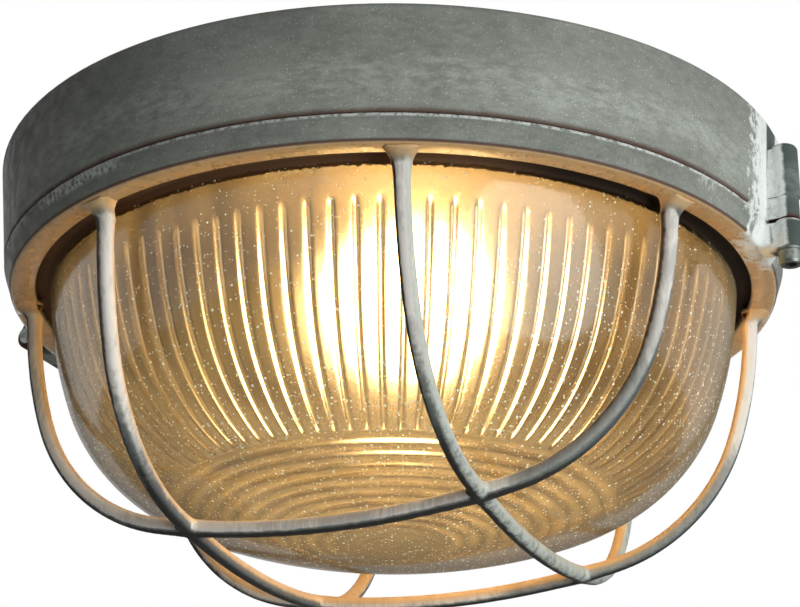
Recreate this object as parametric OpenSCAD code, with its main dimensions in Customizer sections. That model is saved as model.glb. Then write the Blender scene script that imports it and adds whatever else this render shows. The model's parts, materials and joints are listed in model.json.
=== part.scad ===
// Round caged ceiling light: a cast base, a hinged cast guard ring with four crossing bars,
// and a ribbed pressed-glass dome over one lamp.
// The origin is the centre of the face that lies against the ceiling. +Z points up into the
// ceiling, the light hangs towards -Z, and -Y is the side that faces the viewer.
// An azimuth is counted from -Y towards +X, seen from above as counter-clockwise.

/* [Main sizes] */
// Outer radius of the dome's mouth, from which the ring and the base take their radii
mouth_r = 129.2; // [118:0.1:140]
// Depth of the base from the ceiling to its lower rim
base_depth = 38.6; // [36:0.1:42]
// Depth of the dome's lowest point below the ceiling
dome_depth = 142.4; // [130:0.1:155]

/* [Base casting] */
// How much wider the base is at the ceiling than at its lower rim
base_taper = 3; // [2:0.5:5]
// Thickness of the base's side wall
base_wall = 4; // [3.5:0.1:4.5]
// Thickness of the plate against the ceiling
plate_t = 4; // [3:0.5:5]
// Radius of the rounded edge at the ceiling
base_edge_r = 2; // [1:0.5:3]
// Radius of the round inside corner between wall and plate
base_corner_r = 4; // [3:0.5:6]
// Width of the flange inside the lower rim
rim_flange_w = 6.7; // [6:0.1:7.5]
// Thickness of that flange
rim_flange_t = 5.2; // [4:0.1:6]
// Height of the slope between the flange and the wall
rim_slope_h = 5; // [3:0.5:7]
// Thickness of the outer lip
lip_t = 3.8; // [3:0.1:5]
// How far the outer lip hangs below the flange
lip_depth = 4.4; // [4:0.1:5]
// Distance of the seal groove's middle inside the lip
seal_inset = 2.8; // [2.4:0.1:3.2]
// Width of the seal groove
seal_w = 3.2; // [2.5:0.1:3.6]
// Depth of the seal groove
seal_depth = 2.2; // [1.5:0.1:3]

/* [Ceiling fixing] */
// Number of fixing holes
fixing_count = 3; // [3:1:4]
// Pitch circle diameter of the fixing holes
fixing_pcd = 220; // [200:5:230]
// Diameter of a fixing hole
fixing_hole_d = 5.5; // [4.5:0.5:6.5]
// Diameter of the pad round each fixing hole
fixing_pad_d = 16; // [12:1:18]
// Azimuth of the first fixing hole
fixing_az = 30; // [0:5:60]
// Diameter of the cable hole in the plate
entry_d = 16; // [12:1:18]
// Diameter of the grommet's flange
grommet_flange_d = 20; // [19:1:24]
// Thickness of the grommet's flange
grommet_lip_t = 1.5; // [1:0.5:2]
// Diameter of the bore through the cable grommet
cable_bore_d = 9; // [7:0.5:10]
// Place of the cable hole along the lamp's centre line
entry_x = -48; // [-56:1:-44]
// Place of the cable hole across the lamp's centre line
entry_y = -72; // [-80:1:-68]

/* [Guard ring] */
// Gap between the base's rim and the guard ring
seam_gap = 0.4; // [0.3:0.1:0.8]
// How much narrower the ring is at its lower edge than at the seam
guard_taper = 2.3; // [1:0.1:4]
// Height of the guard ring's outer face
guard_h = 9.4; // [8.5:0.1:11]
// Radius of the ring's rounded lower edge
guard_edge_r = 2; // [1:0.5:2.5]
// Gap between the dome's mouth and the opening in the ring
guard_open_gap = 5.6; // [4.5:0.1:6.5]
// Thickness of the shelf that carries the glass
shelf_t = 2.8; // [2.4:0.1:3.2]
// Thickness of the wall round the glass flange
spigot_t = 3.6; // [3.2:0.1:4.2]

/* [Guard bars] */
// Diameter of a bar
bar_d = 5.8; // [5:0.2:7]
// Distance of each bar's plane from the centre line, as a share of the mouth's radius
bar_share = 0.4226; // [0.38:0.001:0.46]
// Gap between the dome's lowest point and the level of the bars
bar_gap = 2.3; // [1:0.1:6]
// How much larger the bars' bend is than the dome's
bar_bend_step = 4.9; // [3:0.1:7]
// Half angle of the flat stretch under the dome
bar_flat_a = 11.2; // [10.5:0.1:12]
// Angle of the bend
bar_bend_a = 60; // [57:0.5:62]
// Angle of the leg up to the ring
bar_leg_a = 17.1; // [15:0.1:18]
// Azimuth of the first bar's plane
bar_az = -22.5; // [-30:0.5:-15]
// Lean of the bars' feet outwards into the ring
foot_lean = 10; // [6:1:14]
// Height of a foot
foot_h = 6.6; // [6:0.1:7]

/* [Glass dome] */
// Half angle of the bottom
dome_low_a = 20.7; // [19:0.1:22]
// Outer radius of the bend in the dome's section
dome_bend_r = 61.6; // [56:0.1:68]
// Angle of the bend
dome_bend_a = 50.4; // [47:0.1:53]
// Angle of the side
dome_side_a = 14.8; // [13.5:0.1:16]
// Height of the straight neck below the flange
dome_neck_h = 4.2; // [3:0.1:5]
// Thickness of the glass
glass_t = 4.2; // [3.5:0.1:5]
// Width of the flange outside the mouth
glass_flange_w = 9.6; // [9:0.1:11]
// Thickness of the glass flange
glass_flange_t = 5; // [4:0.1:5.5]
// Number of upright ribs inside the glass
rib_count = 96; // [72:12:108]
// Height of a rib
rib_h = 1.1; // [0.6:0.1:1.6]
// Share of the pitch that a rib fills
rib_share = 0.5; // [0.4:0.05:0.6]
// Share of the bottom's half angle at which the ribs end and the rings start
rib_end_share = 0.988; // [0.9:0.001:0.995]
// Distance below the neck at which the ribs start
rib_start_drop = 9.2; // [6:0.1:14]
// Number of rings inside the bottom
ring_count = 10; // [6:1:12]
// Height of a ring
ring_h = 0.9; // [0.4:0.1:1.4]
// Radius of the plain eye in the middle
eye_r = 20.2; // [16:0.2:24]

/* [Clasp] */
// Azimuth of the clasp
clasp_az = 66; // [60:0.5:72]
// Distance of the clasp screw's centre outside the ring
clasp_reach = 7.1; // [6.8:0.1:8]
// Diameter of the clasp bosses
clasp_boss_d = 10; // [9.5:0.1:11]
// Depth of the base boss's upper end
clasp_boss_top = 9.5; // [6:0.5:14]
// Depth where the base boss narrows
clasp_boss_step = 30.5; // [28:0.5:32]
// Diameter of its narrow lower end
clasp_neck_d = 8.6; // [8:0.1:9]
// Length of the guard's clasp boss
clasp_lug_h = 11; // [10:0.1:12]
// Thread diameter of the clasp screw
clasp_thread_d = 5; // [4.5:0.5:5.5]
// Thread pitch of the clasp screw
clasp_pitch = 0.8; // [0.8:0.1:1]
// Number of turns that free the clasp
clasp_turns = 6; // [5:1:8]
// Diameter of the screw's socket head
clasp_head_d = 8.4; // [7.6:0.2:9]
// Height of the socket head
clasp_head_h = 5; // [4.5:0.1:6]
// Width of the socket across its corners
clasp_socket_d = 4.6; // [4:0.1:5]
// Thickness of the washer
clasp_washer_t = 0.8; // [0.5:0.1:1.2]

/* [Hinge] */
// Distance of the hinge pin outside the ring
hinge_reach = 8.1; // [7.5:0.1:9]
// Diameter of the hinge pin
hinge_pin_d = 4; // [3:0.5:5]
// Diameter of the hinge knuckles
hinge_knuckle_d = 10; // [9:0.5:11]
// Width of the guard's knuckle
hinge_knuckle_w = 14; // [12:1:18]
// Width of each of the base's two ears
hinge_ear_w = 6; // [5:0.5:7]
// Side gap between the knuckle and each ear
hinge_side_gap = 0.3; // [0.2:0.1:0.5]
// Depth at which the ears' webs start on the side of the base
hinge_web_depth = 12; // [8:1:16]

/* [Lamp and holder] */
// Depth of the lamp's centre line below the ceiling
lamp_depth = 46; // [44:1:50]
// Radius of the lamp's globe
globe_r = 30; // [28:0.5:32]
// Distance of the globe's centre from the centre line, towards the clasp
globe_shift = 8; // [4:1:12]
// Length of the lamp from its contact to its tip
lamp_length = 105; // [100:1:108]
// Outer radius of the lamp cap's thread
cap_r = 13.2; // [13:0.1:13.25]
// Length of the lamp cap
cap_length = 27; // [26:0.5:28]
// Outer radius of the lamp holder
holder_r = 23; // [21:0.5:24]
// Length of the lamp holder
holder_length = 48; // [46:1:50]
// Thickness of the holder's back
holder_floor_t = 12; // [10:0.5:13]
// Distance of the holder's screws from its centre line
holder_screw_y = 14; // [13:0.5:15]
// Length of the holder's threaded shell
shell_l = 22; // [20:1:24]
// Thickness of the bracket's steel
bracket_t = 2; // [1.5:0.5:2.5]
// Width of the bracket
bracket_w = 38; // [34:1:42]
// Length of the bracket's foot
bracket_foot_l = 24; // [20:1:26]
// Distance of the bracket's screws from the lamp's centre line
bracket_screw_y = 11; // [9:0.5:13]

/* [Terminals and leads] */
// Place of the terminal block along the lamp's centre line
block_x = 4; // [0:1:6]
// Place of the terminal block across the lamp's centre line
block_y = -86; // [-92:1:-82]
// Length of the terminal block
block_l = 40; // [39:0.5:42]
// Width of the terminal block
block_w = 20; // [18:1:22]
// Height of the terminal block
block_h = 16; // [15:0.5:18]
// Distance between its three ways
block_way_dx = 9.5; // [8.5:0.5:10]
// Distance of its fixing screws from its middle
block_screw_dx = 16; // [15.5:0.5:16.5]
// Diameter of a brass insert
insert_d = 6.4; // [6:0.2:7]
// Length of a brass insert
insert_l = 16; // [14:1:18]
// Distance of the clamp screws from the insert's middle
clamp_dy = 5; // [4:0.5:6]
// Place of the earth screw along the lamp's centre line
earth_x = 50; // [48:1:56]
// Place of the earth screw across the lamp's centre line
earth_y = -72; // [-76:1:-66]
// Diameter of the insulated leads inside
lead_d = 2.6; // [2:0.2:3]

/* [Hidden] */
$fn = 96;
ROUND_FN = 240;

// Running clearance of a pin or shaft, on the radius
fit = 0.05;
// Clearance of the clasp screw's thread in the base, which also lets the guard swing clear
thread_fit = 0.12;
// Overlap by which joined parts of one casting run into each other
bite = 0.5;
// Side gap between parts that sit loosely in each other
side_gap = 0.4;
// How far a cutting shape runs out past the face it cuts
past = 1;
// Flat on a machined edge
chamfer = 0.5;
rim_chamfer = 0.8;

paint = [0.47, 0.52, 0.50];
steel = [0.72, 0.73, 0.75];
brass = [0.80, 0.66, 0.34];
china = [0.93, 0.92, 0.88];
black = [0.12, 0.12, 0.12];

// Radii, from the glass outwards
glass_flange_r = mouth_r + glass_flange_w;
spigot_in_r = glass_flange_r + side_gap;
spigot_r = spigot_in_r + spigot_t;
lip_in_r = spigot_r + side_gap;
base_rim_r = lip_in_r + lip_t;
base_r = base_rim_r + base_taper;
seal_r = lip_in_r - seal_inset;
rim_flange_in_r = lip_in_r - rim_flange_w;
ring_step = 0.1;
guard_r = base_rim_r - ring_step;
guard_low_r = guard_r - guard_taper;
guard_open_r = mouth_r + guard_open_gap;
clasp_r = guard_r + clasp_reach;
hinge_r = guard_r + hinge_reach;

// Levels, from the rim of the base downwards
rim_z = -base_depth;
flange_z = rim_z + lip_depth;
seam_z = rim_z - seam_gap;
guard_low_z = seam_z - guard_h;
shelf_z = guard_low_z + shelf_t;
gasket_t = 1;
glass_seat_z = shelf_z + gasket_t;
glass_top_z = glass_seat_z + glass_flange_t;
neck_z = glass_seat_z - dome_neck_h;
retainer_t = 1.2;
retainer_w = 3.7;
retainer_depth = 1.3;
retainer_fit = 0.1;
groove_z = glass_top_z + retainer_fit;
groove_top_z = groove_z + retainer_t + retainer_fit;
groove_r = spigot_in_r + retainer_depth + retainer_fit;
spigot_top_z = flange_z - side_gap;
boss_h = 3;
boss_z = -plate_t - boss_h;

// Screws inside
screw_d = 4;
screw_head_d = 7.6;
screw_head_h = 2.6;
screw_room = 0.6;
block_screw_d = 3.2;
block_screw_head_d = 5.8;
block_screw_head_h = 2.2;
clamp_d = 3;
clamp_l = 6;

// Points of an arc about centre c from angle a0 to a1
function arc(c, r, a0, a1, n) =
    [for (i = [0 : n]) let (a = a0 + (a1 - a0) * i / n) [c[0] + r * cos(a), c[1] + r * sin(a)]];

// First and last radius of three tangent arcs that run from level to [reach, height] through
// the given angles, when the middle radius is mid_r
function end_radii(reach, height, mid_r, angles) =
    let (
        t1 = angles[0] + angles[1],
        t2 = t1 + angles[2],
        a = [sin(angles[0]), sin(t1) - sin(angles[0]), sin(t2) - sin(t1)],
        b = [1 - cos(angles[0]), cos(angles[0]) - cos(t1), cos(t1) - cos(t2)],
        det = a[0] * b[2] - a[2] * b[0],
        reach_left = reach - mid_r * a[1],
        height_left = height - mid_r * b[1]
    )
    [(reach_left * b[2] - height_left * a[2]) / det, (height_left * a[0] - reach_left * b[0]) / det];

// A path of three tangent arcs that starts level at [0, -depth] and ends at [reach, top_z].
// Each entry is [centre, radius, first angle, last angle].
function arc_chain(depth, reach, top_z, mid_r, angles) =
    let (
        ends = end_radii(reach, depth + top_z, mid_r, angles),
        c0 = [0, -depth + ends[0]],
        c1 = c0 + (ends[0] - mid_r) * [sin(angles[0]), -cos(angles[0])],
        turned = angles[0] + angles[1],
        c2 = c1 + (mid_r - ends[1]) * [sin(turned), -cos(turned)]
    )
    [
        [c0, ends[0], -90, -90 + angles[0]],
        [c1, mid_r, -90 + angles[0], -90 + turned],
        [c2, ends[1], -90 + turned, -90 + turned + angles[2]]
    ];

dome = arc_chain(dome_depth, mouth_r, neck_z, dome_bend_r, [dome_low_a, dome_bend_a, dome_side_a]);
rib_end_r = (dome[0][1] - glass_t) * sin(dome_low_a * rib_end_share);
rib_start_z = neck_z - rib_start_drop;

bar_offset = bar_share * mouth_r;
bar_depth = dome_depth + bar_gap + bar_d / 2;
bar_end_r = guard_open_r + 0.8;
bar_end_z = guard_low_z - 4.2;
bar = arc_chain(bar_depth, sqrt(bar_end_r * bar_end_r - bar_offset * bar_offset), bar_end_z,
                dome_bend_r + bar_bend_step, [bar_flat_a, bar_bend_a, bar_leg_a]);

// Places inside, in the frame of the lamp's centre line: +X to the clasp
cap_contact_x = globe_shift + globe_r - lamp_length;
holder_lap = 4;
holder_mouth_x = cap_contact_x + cap_length - holder_lap;
holder_back_x = holder_mouth_x - holder_length;
bracket_screw_x = holder_back_x - bracket_t - bracket_foot_l / 2;
way_z = boss_z - block_h / 2;
block_floor_t = 6;
block_front_y = block_y + block_w / 2;

// Clasp and hinge
ear_y = hinge_knuckle_w / 2 + hinge_side_gap;
hinge_pin_l = 2 * (ear_y + hinge_ear_w);
clasp_travel = clasp_turns * clasp_pitch;
clasp_tip_z = seam_z + clasp_travel;
clasp_thread_l = clasp_travel - 0.4;
clasp_hole_top = rim_z + 13;
clasp_seat_z = seam_z - clasp_lug_h;
screw_neck_d = clasp_thread_d - 1;

// Point of the dome's section at share f of arc k, moved inwards by t
function dome_at(k, f, t) =
    let (a = dome[k][2] + (dome[k][3] - dome[k][2]) * f)
    dome[k][0] + (dome[k][1] - t) * [cos(a), sin(a)];

// Depth of the wave of rings at radius r inside the bottom
function ring_wave(r) =
    r < eye_r || r > rib_end_r ? 0
    : ring_h * (1 - cos(360 * ring_count * (r - eye_r) / (rib_end_r - eye_r))) / 2;

// Turn a shape's +X to the given azimuth
module at_azimuth(az) {
    rotate([0, 0, az - 90]) children();
}

// Lay a shape made along +Z on the lamp's level centre line, pointing to the clasp
module on_lamp_axis(distance) {
    at_azimuth(clasp_az) translate([distance, 0, -lamp_depth]) rotate([0, 90, 0]) children();
}

module tube(r_out, r_in, h) {
    difference() {
        cylinder(r = r_out, h = h);
        translate([0, 0, -past]) cylinder(r = r_in, h = h + 2 * past);
    }
}

// Pan-head screw with a cross slot, its head's underside at z = 0 and its shank upwards
module pan_screw(d, length, head_d, head_h) {
    slot_w = d / 4;
    slot_l = head_d * 0.6;
    difference() {
        union() {
            cylinder(d = d, h = length);
            translate([0, 0, -head_h]) cylinder(d1 = head_d * 0.8, d2 = head_d, h = head_h);
        }
        for (a = [0, 90])
            rotate([0, 0, a]) translate([-slot_l / 2, -slot_w / 2, -head_h - past])
                cube([slot_l, slot_w, head_h / 2 + past]);
    }
}

// Pad on the inside of the ceiling plate with a blind screw hole
module plate_boss(x, y, d) {
    translate([x, y, boss_z]) cylinder(d = d, h = boss_h + bite);
}

module plate_boss_hole(x, y) {
    translate([x, y, boss_z - past]) cylinder(d = screw_d, h = boss_h + plate_t);
}

// Base

module base_section() {
    polygon(concat(
        [[0, 0]],
        arc([base_r - base_edge_r, -base_edge_r], base_edge_r, 90, 0, 6),
        [[base_rim_r, rim_z + rim_chamfer], [base_rim_r - rim_chamfer, rim_z], [lip_in_r + chamfer, rim_z],
         [lip_in_r, rim_z + chamfer], [lip_in_r, flange_z],
         [seal_r + seal_w / 2, flange_z], [seal_r + seal_w / 2, flange_z + seal_depth],
         [seal_r - seal_w / 2, flange_z + seal_depth], [seal_r - seal_w / 2, flange_z],
         [rim_flange_in_r, flange_z], [rim_flange_in_r, flange_z + rim_flange_t],
         [base_rim_r - base_wall + 1, flange_z + rim_flange_t + rim_slope_h]],
        arc([base_r - base_wall - base_corner_r, -plate_t - base_corner_r], base_corner_r, 0, 90, 6),
        [[0, -plate_t]]
    ));
}

// Upright boss outside the wall, with rounded ends, and the web that joins it to the wall
module clasp_boss(z_top, z_low, d, top_round, low_round) {
    h = z_top - z_low;
    web_in = clasp_r - guard_low_r + 1;
    web_w = d - 1.8;
    translate([clasp_r, 0, z_low]) {
        rotate_extrude() polygon(concat(
            [[0, 0]],
            arc([d / 2 - low_round, low_round], low_round, -90, 0, 4),
            arc([d / 2 - top_round, h - top_round], top_round, 0, 90, 4),
            [[0, h]]
        ));
        translate([-web_in, -web_w / 2, 0]) cube([web_in, web_w, h - top_round]);
    }
}

module base_ear(y) {
    knuckle_r = hinge_knuckle_d / 2;
    translate([0, y, 0]) rotate([-90, 0, 0]) linear_extrude(hinge_ear_w) union() {
        translate([hinge_r, -seam_z]) circle(d = hinge_knuckle_d);
        // The ear's web runs up the side of the base
        polygon([[hinge_r - knuckle_r + 0.7, -seam_z], [hinge_r + knuckle_r - 0.2, -seam_z],
                 [base_r - 1, hinge_web_depth], [base_rim_r - base_wall + 1, hinge_web_depth],
                 [base_rim_r - base_wall / 2, base_depth - 1.5]]);
    }
}

module base_housing() {
    bracket_pad_d = 10;
    block_pad_d = 8;
    earth_pad_d = 11;
    color(paint)
    difference() {
        union() {
            rotate_extrude($fn = ROUND_FN) base_section();
            for (i = [0 : fixing_count - 1])
                at_azimuth(fixing_az + i * 360 / fixing_count) translate([fixing_pcd / 2, 0, boss_z])
                    cylinder(d = fixing_pad_d, h = boss_h + bite);
            at_azimuth(clasp_az) {
                clasp_boss(-clasp_boss_top, -clasp_boss_step, clasp_boss_d, 2, 1);
                clasp_boss(-clasp_boss_step + 2, rim_z, clasp_neck_d, 0.5, 0.5);
                for (s = [-1, 1]) {
                    plate_boss(bracket_screw_x, s * bracket_screw_y, bracket_pad_d);
                    plate_boss(block_x + s * block_screw_dx, block_y, block_pad_d);
                }
                plate_boss(earth_x, earth_y, earth_pad_d);
            }
            at_azimuth(clasp_az + 180)
                for (y = [-ear_y - hinge_ear_w, ear_y]) base_ear(y);
        }
        for (i = [0 : fixing_count - 1])
            at_azimuth(fixing_az + i * 360 / fixing_count) translate([fixing_pcd / 2, 0, boss_z - past])
                cylinder(d = fixing_hole_d, h = boss_h + plate_t + 2 * past);
        at_azimuth(clasp_az) {
            translate([clasp_r, 0, rim_z - past])
                cylinder(d = clasp_thread_d + 2 * thread_fit, h = clasp_hole_top - rim_z + past);
            for (s = [-1, 1]) {
                plate_boss_hole(bracket_screw_x, s * bracket_screw_y);
                plate_boss_hole(block_x + s * block_screw_dx, block_y);
            }
            plate_boss_hole(earth_x, earth_y);
            translate([entry_x, entry_y, -plate_t - past]) cylinder(d = entry_d, h = plate_t + 2 * past);
            translate([entry_x, entry_y, -grommet_lip_t - 0.1])
                cylinder(d = grommet_flange_d + side_gap, h = grommet_lip_t + 0.1 + past);
        }
        hinge_bore(hinge_pin_d);
    }
}

// Bore of the given diameter through all of the hinge's knuckles
module hinge_bore(d) {
    at_azimuth(clasp_az + 180) translate([hinge_r, 0, seam_z]) rotate([90, 0, 0])
        cylinder(d = d, h = hinge_pin_l + 2 * past, center = true);
}

module base_seal() {
    color(black)
    rotate_extrude($fn = ROUND_FN)
        translate([seal_r - seal_w / 2, flange_z]) square([seal_w, seal_depth]);
}

module cable_grommet() {
    bead_h = 2;
    color(black)
    at_azimuth(clasp_az) translate([entry_x, entry_y, 0])
        rotate_extrude()
            polygon([[cable_bore_d / 2, 0], [grommet_flange_d / 2, 0],
                     [grommet_flange_d / 2, -grommet_lip_t], [entry_d / 2, -grommet_lip_t],
                     [entry_d / 2, -plate_t], [grommet_flange_d / 2, -plate_t],
                     [grommet_flange_d / 2 - 1, -plate_t - bead_h], [cable_bore_d / 2, -plate_t - bead_h]]);
}

// The pin is pressed into the base's ears and runs in the guard's knuckle
module hinge_pin() {
    pin_head_h = 1.6;
    color(steel)
    at_azimuth(clasp_az + 180) translate([hinge_r, hinge_pin_l / 2, seam_z]) rotate([90, 0, 0]) {
        cylinder(d = hinge_pin_d, h = hinge_pin_l);
        translate([0, 0, -pin_head_h]) cylinder(d = hinge_pin_d + 2.6, h = pin_head_h);
    }
}

// Lamp holder

module holder_bracket() {
    foot_x = holder_back_x - bracket_foot_l - bracket_t;
    upright_low = -lamp_depth - holder_screw_y - 4;
    bend_r = bracket_t + 1;
    lead_hole_d = 14;
    through = bracket_t + 2 * past;
    color(steel)
    at_azimuth(clasp_az)
    difference() {
        translate([0, bracket_w / 2, 0]) rotate([90, 0, 0]) linear_extrude(bracket_w) polygon(concat(
            [[foot_x, boss_z]],
            arc([holder_back_x - bend_r, boss_z - bend_r], bend_r, 90, 0, 4),
            [[holder_back_x, upright_low], [holder_back_x - bracket_t, upright_low]],
            arc([holder_back_x - bend_r, boss_z - bend_r], bend_r - bracket_t, 0, 90, 4),
            [[foot_x, boss_z - bracket_t]]
        ));
        for (s = [-1, 1]) {
            translate([bracket_screw_x, s * bracket_screw_y, boss_z - bracket_t - past])
                cylinder(d = screw_d + screw_room, h = through);
            translate([holder_back_x - bracket_t - past, s * holder_screw_y, -lamp_depth])
                rotate([0, 90, 0]) cylinder(d = screw_d + screw_room, h = through);
        }
        // Opening for the leads behind the holder
        translate([holder_back_x - bracket_t - past, 0, -lamp_depth])
            rotate([0, 90, 0]) cylinder(d = lead_hole_d, h = through);
    }
}

module bracket_screws() {
    color(steel)
    at_azimuth(clasp_az) for (s = [-1, 1])
        translate([bracket_screw_x, s * bracket_screw_y, boss_z - bracket_t])
            pan_screw(screw_d, bracket_t + boss_h + 2, screw_head_d, screw_head_h);
}

module lampholder_body() {
    bore_r = cap_r + 2.3;
    edge = 1;
    foot_l = holder_length / 3;
    step = 2;
    mouth_round = 1.5;
    lead_room_d = 11;
    screw_hole_l = 8;
    color(china)
    on_lamp_axis(holder_back_x)
    difference() {
        rotate_extrude() polygon([
            [0, 0], [holder_r - edge, 0], [holder_r, edge], [holder_r, foot_l], [holder_r - step, foot_l + 3],
            [holder_r - step, holder_length - mouth_round], [holder_r - step - mouth_round, holder_length],
            [bore_r + edge, holder_length], [bore_r, holder_length - edge],
            [bore_r, holder_floor_t], [0, holder_floor_t]
        ]);
        // Lead hole and the two screw holes in the back
        translate([0, 0, -past]) cylinder(d = lead_room_d, h = holder_floor_t / 2 + past);
        for (s = [-1, 1]) {
            translate([0, s * holder_screw_y, -past]) cylinder(d = screw_d, h = screw_hole_l + past);
            translate([0, s * holder_lead_y, 0]) cylinder(d = lead_d, h = holder_floor_t + past);
        }
    }
}

module lampholder_shell() {
    shell_t = 0.6;
    shell_in_r = cap_r + 0.35;
    thread_h = 0.7;
    turns = 11;
    strap_l = 4;
    strap_w = 8;
    color(brass) {
        on_lamp_axis(holder_back_x + holder_floor_t + strap_l)
            rotate_extrude() polygon(concat(
                [[shell_in_r, 0]],
                [for (i = [0 : turns]) [shell_in_r + shell_t + (i % 2) * thread_h, shell_l * i / turns]],
                [[shell_in_r, shell_l]]
            ));
        // Strap that carries the shell on the holder's floor
        on_lamp_axis(holder_back_x + holder_floor_t) intersection() {
            tube(shell_in_r + shell_t, shell_in_r, strap_l + bite);
            translate([-strap_w / 2, 0, -past]) cube([strap_w, 2 * cap_r, 2 * strap_l]);
        }
    }
}

module centre_contact() {
    reach = cap_contact_x - holder_back_x - holder_floor_t - 0.1;
    strip_w = 6;
    strip_t = 0.8;
    foot_y = -9;
    tip_y = 3;
    color(brass)
    on_lamp_axis(holder_back_x + holder_floor_t) {
        translate([-strip_w / 2, foot_y, 0]) cube([strip_w, tip_y - foot_y + 1, strip_t]);
        translate([-strip_w / 2, 0, 0]) rotate([90, 0, 90]) linear_extrude(strip_w) polygon([
            [foot_y, 0], [foot_y + strip_t, 0], [-1, reach - strip_t], [tip_y, reach - strip_t],
            [tip_y, reach], [-1.4, reach]
        ]);
    }
}

module holder_screws() {
    holder_screw_l = 7;
    color(steel)
    at_azimuth(clasp_az) for (s = [-1, 1])
        translate([holder_back_x - bracket_t, s * holder_screw_y, -lamp_depth])
            rotate([0, 90, 0]) pan_screw(screw_d, bracket_t + holder_screw_l, screw_head_d, screw_head_h);
}

// The lamp is one sealed solid: globe, neck, threaded cap and contact
module light_bulb() {
    neck_x = lamp_length - globe_r;
    neck = [cap_length - neck_x, cap_r + 0.4];
    tangent = atan2(neck[1], neck[0]) - acos(globe_r / norm(neck));
    ridges = 7;
    ridge_h = 0.8;
    ridge_step = 1.426;
    thread_x = 4;
    round_steps = 20;
    color([1, 0.93, 0.78])
    on_lamp_axis(cap_contact_x)
    rotate_extrude() polygon(concat(
        [[0, 0], [4.8, 0], [5.4, 0.8], [6.2, 1.6], [11.6, thread_x]],
        [for (i = [0 : 2 * ridges]) [cap_r - (i % 2) * ridge_h, thread_x + i * ridge_step]],
        [[cap_r + 0.1, cap_length - 1.6], [cap_r + 0.4, cap_length]],
        [for (i = [0 : round_steps]) let (a = tangent * (1 - i / round_steps))
            [globe_r * sin(a), neck_x + globe_r * cos(a)]]
    ));
}

// Terminals and leads

module terminal_block() {
    color([0.90, 0.89, 0.85])
    at_azimuth(clasp_az) translate([block_x, block_y, boss_z])
    difference() {
        translate([-block_l / 2, -block_w / 2, -block_h]) cube([block_l, block_w, block_h]);
        for (i = [-1 : 1]) translate([i * block_way_dx, 0, 0]) {
            // Way for the brass insert, and a screw hole at each end of it
            translate([0, 0, -block_h / 2]) rotate([90, 0, 0])
                cylinder(d = insert_d, h = block_w + 2 * past, center = true);
            for (s = [-1, 1])
                translate([0, s * clamp_dy, -block_h - past]) cylinder(d = clamp_d + 1, h = block_h / 2);
        }
        for (s = [-1, 1]) translate([s * block_screw_dx, 0, -block_h - past]) {
            cylinder(d = block_screw_d + 0.2, h = block_h + 2 * past);
            cylinder(d = block_screw_head_d + screw_room, h = block_h + past - block_floor_t);
        }
    }
}

module terminal_inserts() {
    insert_bore_d = lead_d + 0.8;
    color(brass)
    at_azimuth(clasp_az) translate([block_x, block_y, way_z])
        for (i = [-1 : 1]) translate([i * block_way_dx, insert_l / 2, 0]) rotate([90, 0, 0])
            difference() {
                tube(insert_d / 2, insert_bore_d / 2, insert_l);
                for (s = [-1, 1])
                    translate([0, 0, insert_l / 2 + s * clamp_dy]) rotate([90, 0, 0])
                        cylinder(d = clamp_d, h = insert_d);
            }
}

module terminal_screws() {
    slot_w = 0.7;
    color(steel)
    at_azimuth(clasp_az) translate([block_x, block_y, boss_z - block_h])
        for (i = [-1 : 1]) for (s = [-1, 1])
            translate([i * block_way_dx, s * clamp_dy, 0]) difference() {
                cylinder(d = clamp_d, h = clamp_l);
                translate([-clamp_d / 2 - past, -slot_w / 2, -past]) cube([clamp_d + 2 * past, slot_w, 2 * past]);
            }
}

module block_screws() {
    color(steel)
    at_azimuth(clasp_az) for (s = [-1, 1])
        translate([block_x + s * block_screw_dx, block_y, boss_z - block_floor_t])
            pan_screw(block_screw_d, block_floor_t + boss_h + 1, block_screw_head_d, block_screw_head_h);
}

module earth_screw() {
    washer_t = 1;
    stack_h = eye_t + washer_t;
    color(brass)
    at_azimuth(clasp_az) translate([earth_x, earth_y, boss_z - stack_h]) {
        pan_screw(screw_d, stack_h + boss_h + 2, screw_head_d, screw_head_h);
        // Cupped washer that holds the earth lead's eye
        tube(4.8, screw_d / 2, washer_t);
    }
}

lead_in = 4;
holder_lead_y = 3;
eye_t = 1.4;
eye_out_r = 4.6;

// A bent insulated wire through the points
module lead(points) {
    for (i = [0 : len(points) - 2]) hull() {
        translate(points[i]) sphere(d = lead_d, $fn = 8);
        translate(points[i + 1]) sphere(d = lead_d, $fn = 8);
    }
}

// A lead from one way of the terminal block round to a hole in the holder's back. Each side
// takes its own line, so that the two leads stay apart.
module holder_lead(way, side) {
    way_x = block_x + way * block_way_dx;
    hole_y = -side * holder_lead_y;
    back_x = holder_back_x - 14;
    at_azimuth(clasp_az) lead([
        [way_x, block_front_y - lead_in, way_z], [way_x, block_front_y + 2 * lead_in, way_z],
        [way_x - 20, block_front_y + 30 - side * 4, way_z], [back_x, -26 - side * 5, way_z - 8],
        [back_x, hole_y - 4, -lamp_depth], [holder_back_x - 5, hole_y, -lamp_depth],
        [holder_back_x + holder_floor_t - 2, hole_y, -lamp_depth]
    ]);
}

module live_lead() {
    color([0.45, 0.28, 0.16]) holder_lead(-1, 1);
}

module neutral_lead() {
    color([0.16, 0.30, 0.62]) holder_lead(0, -1);
}

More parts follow.
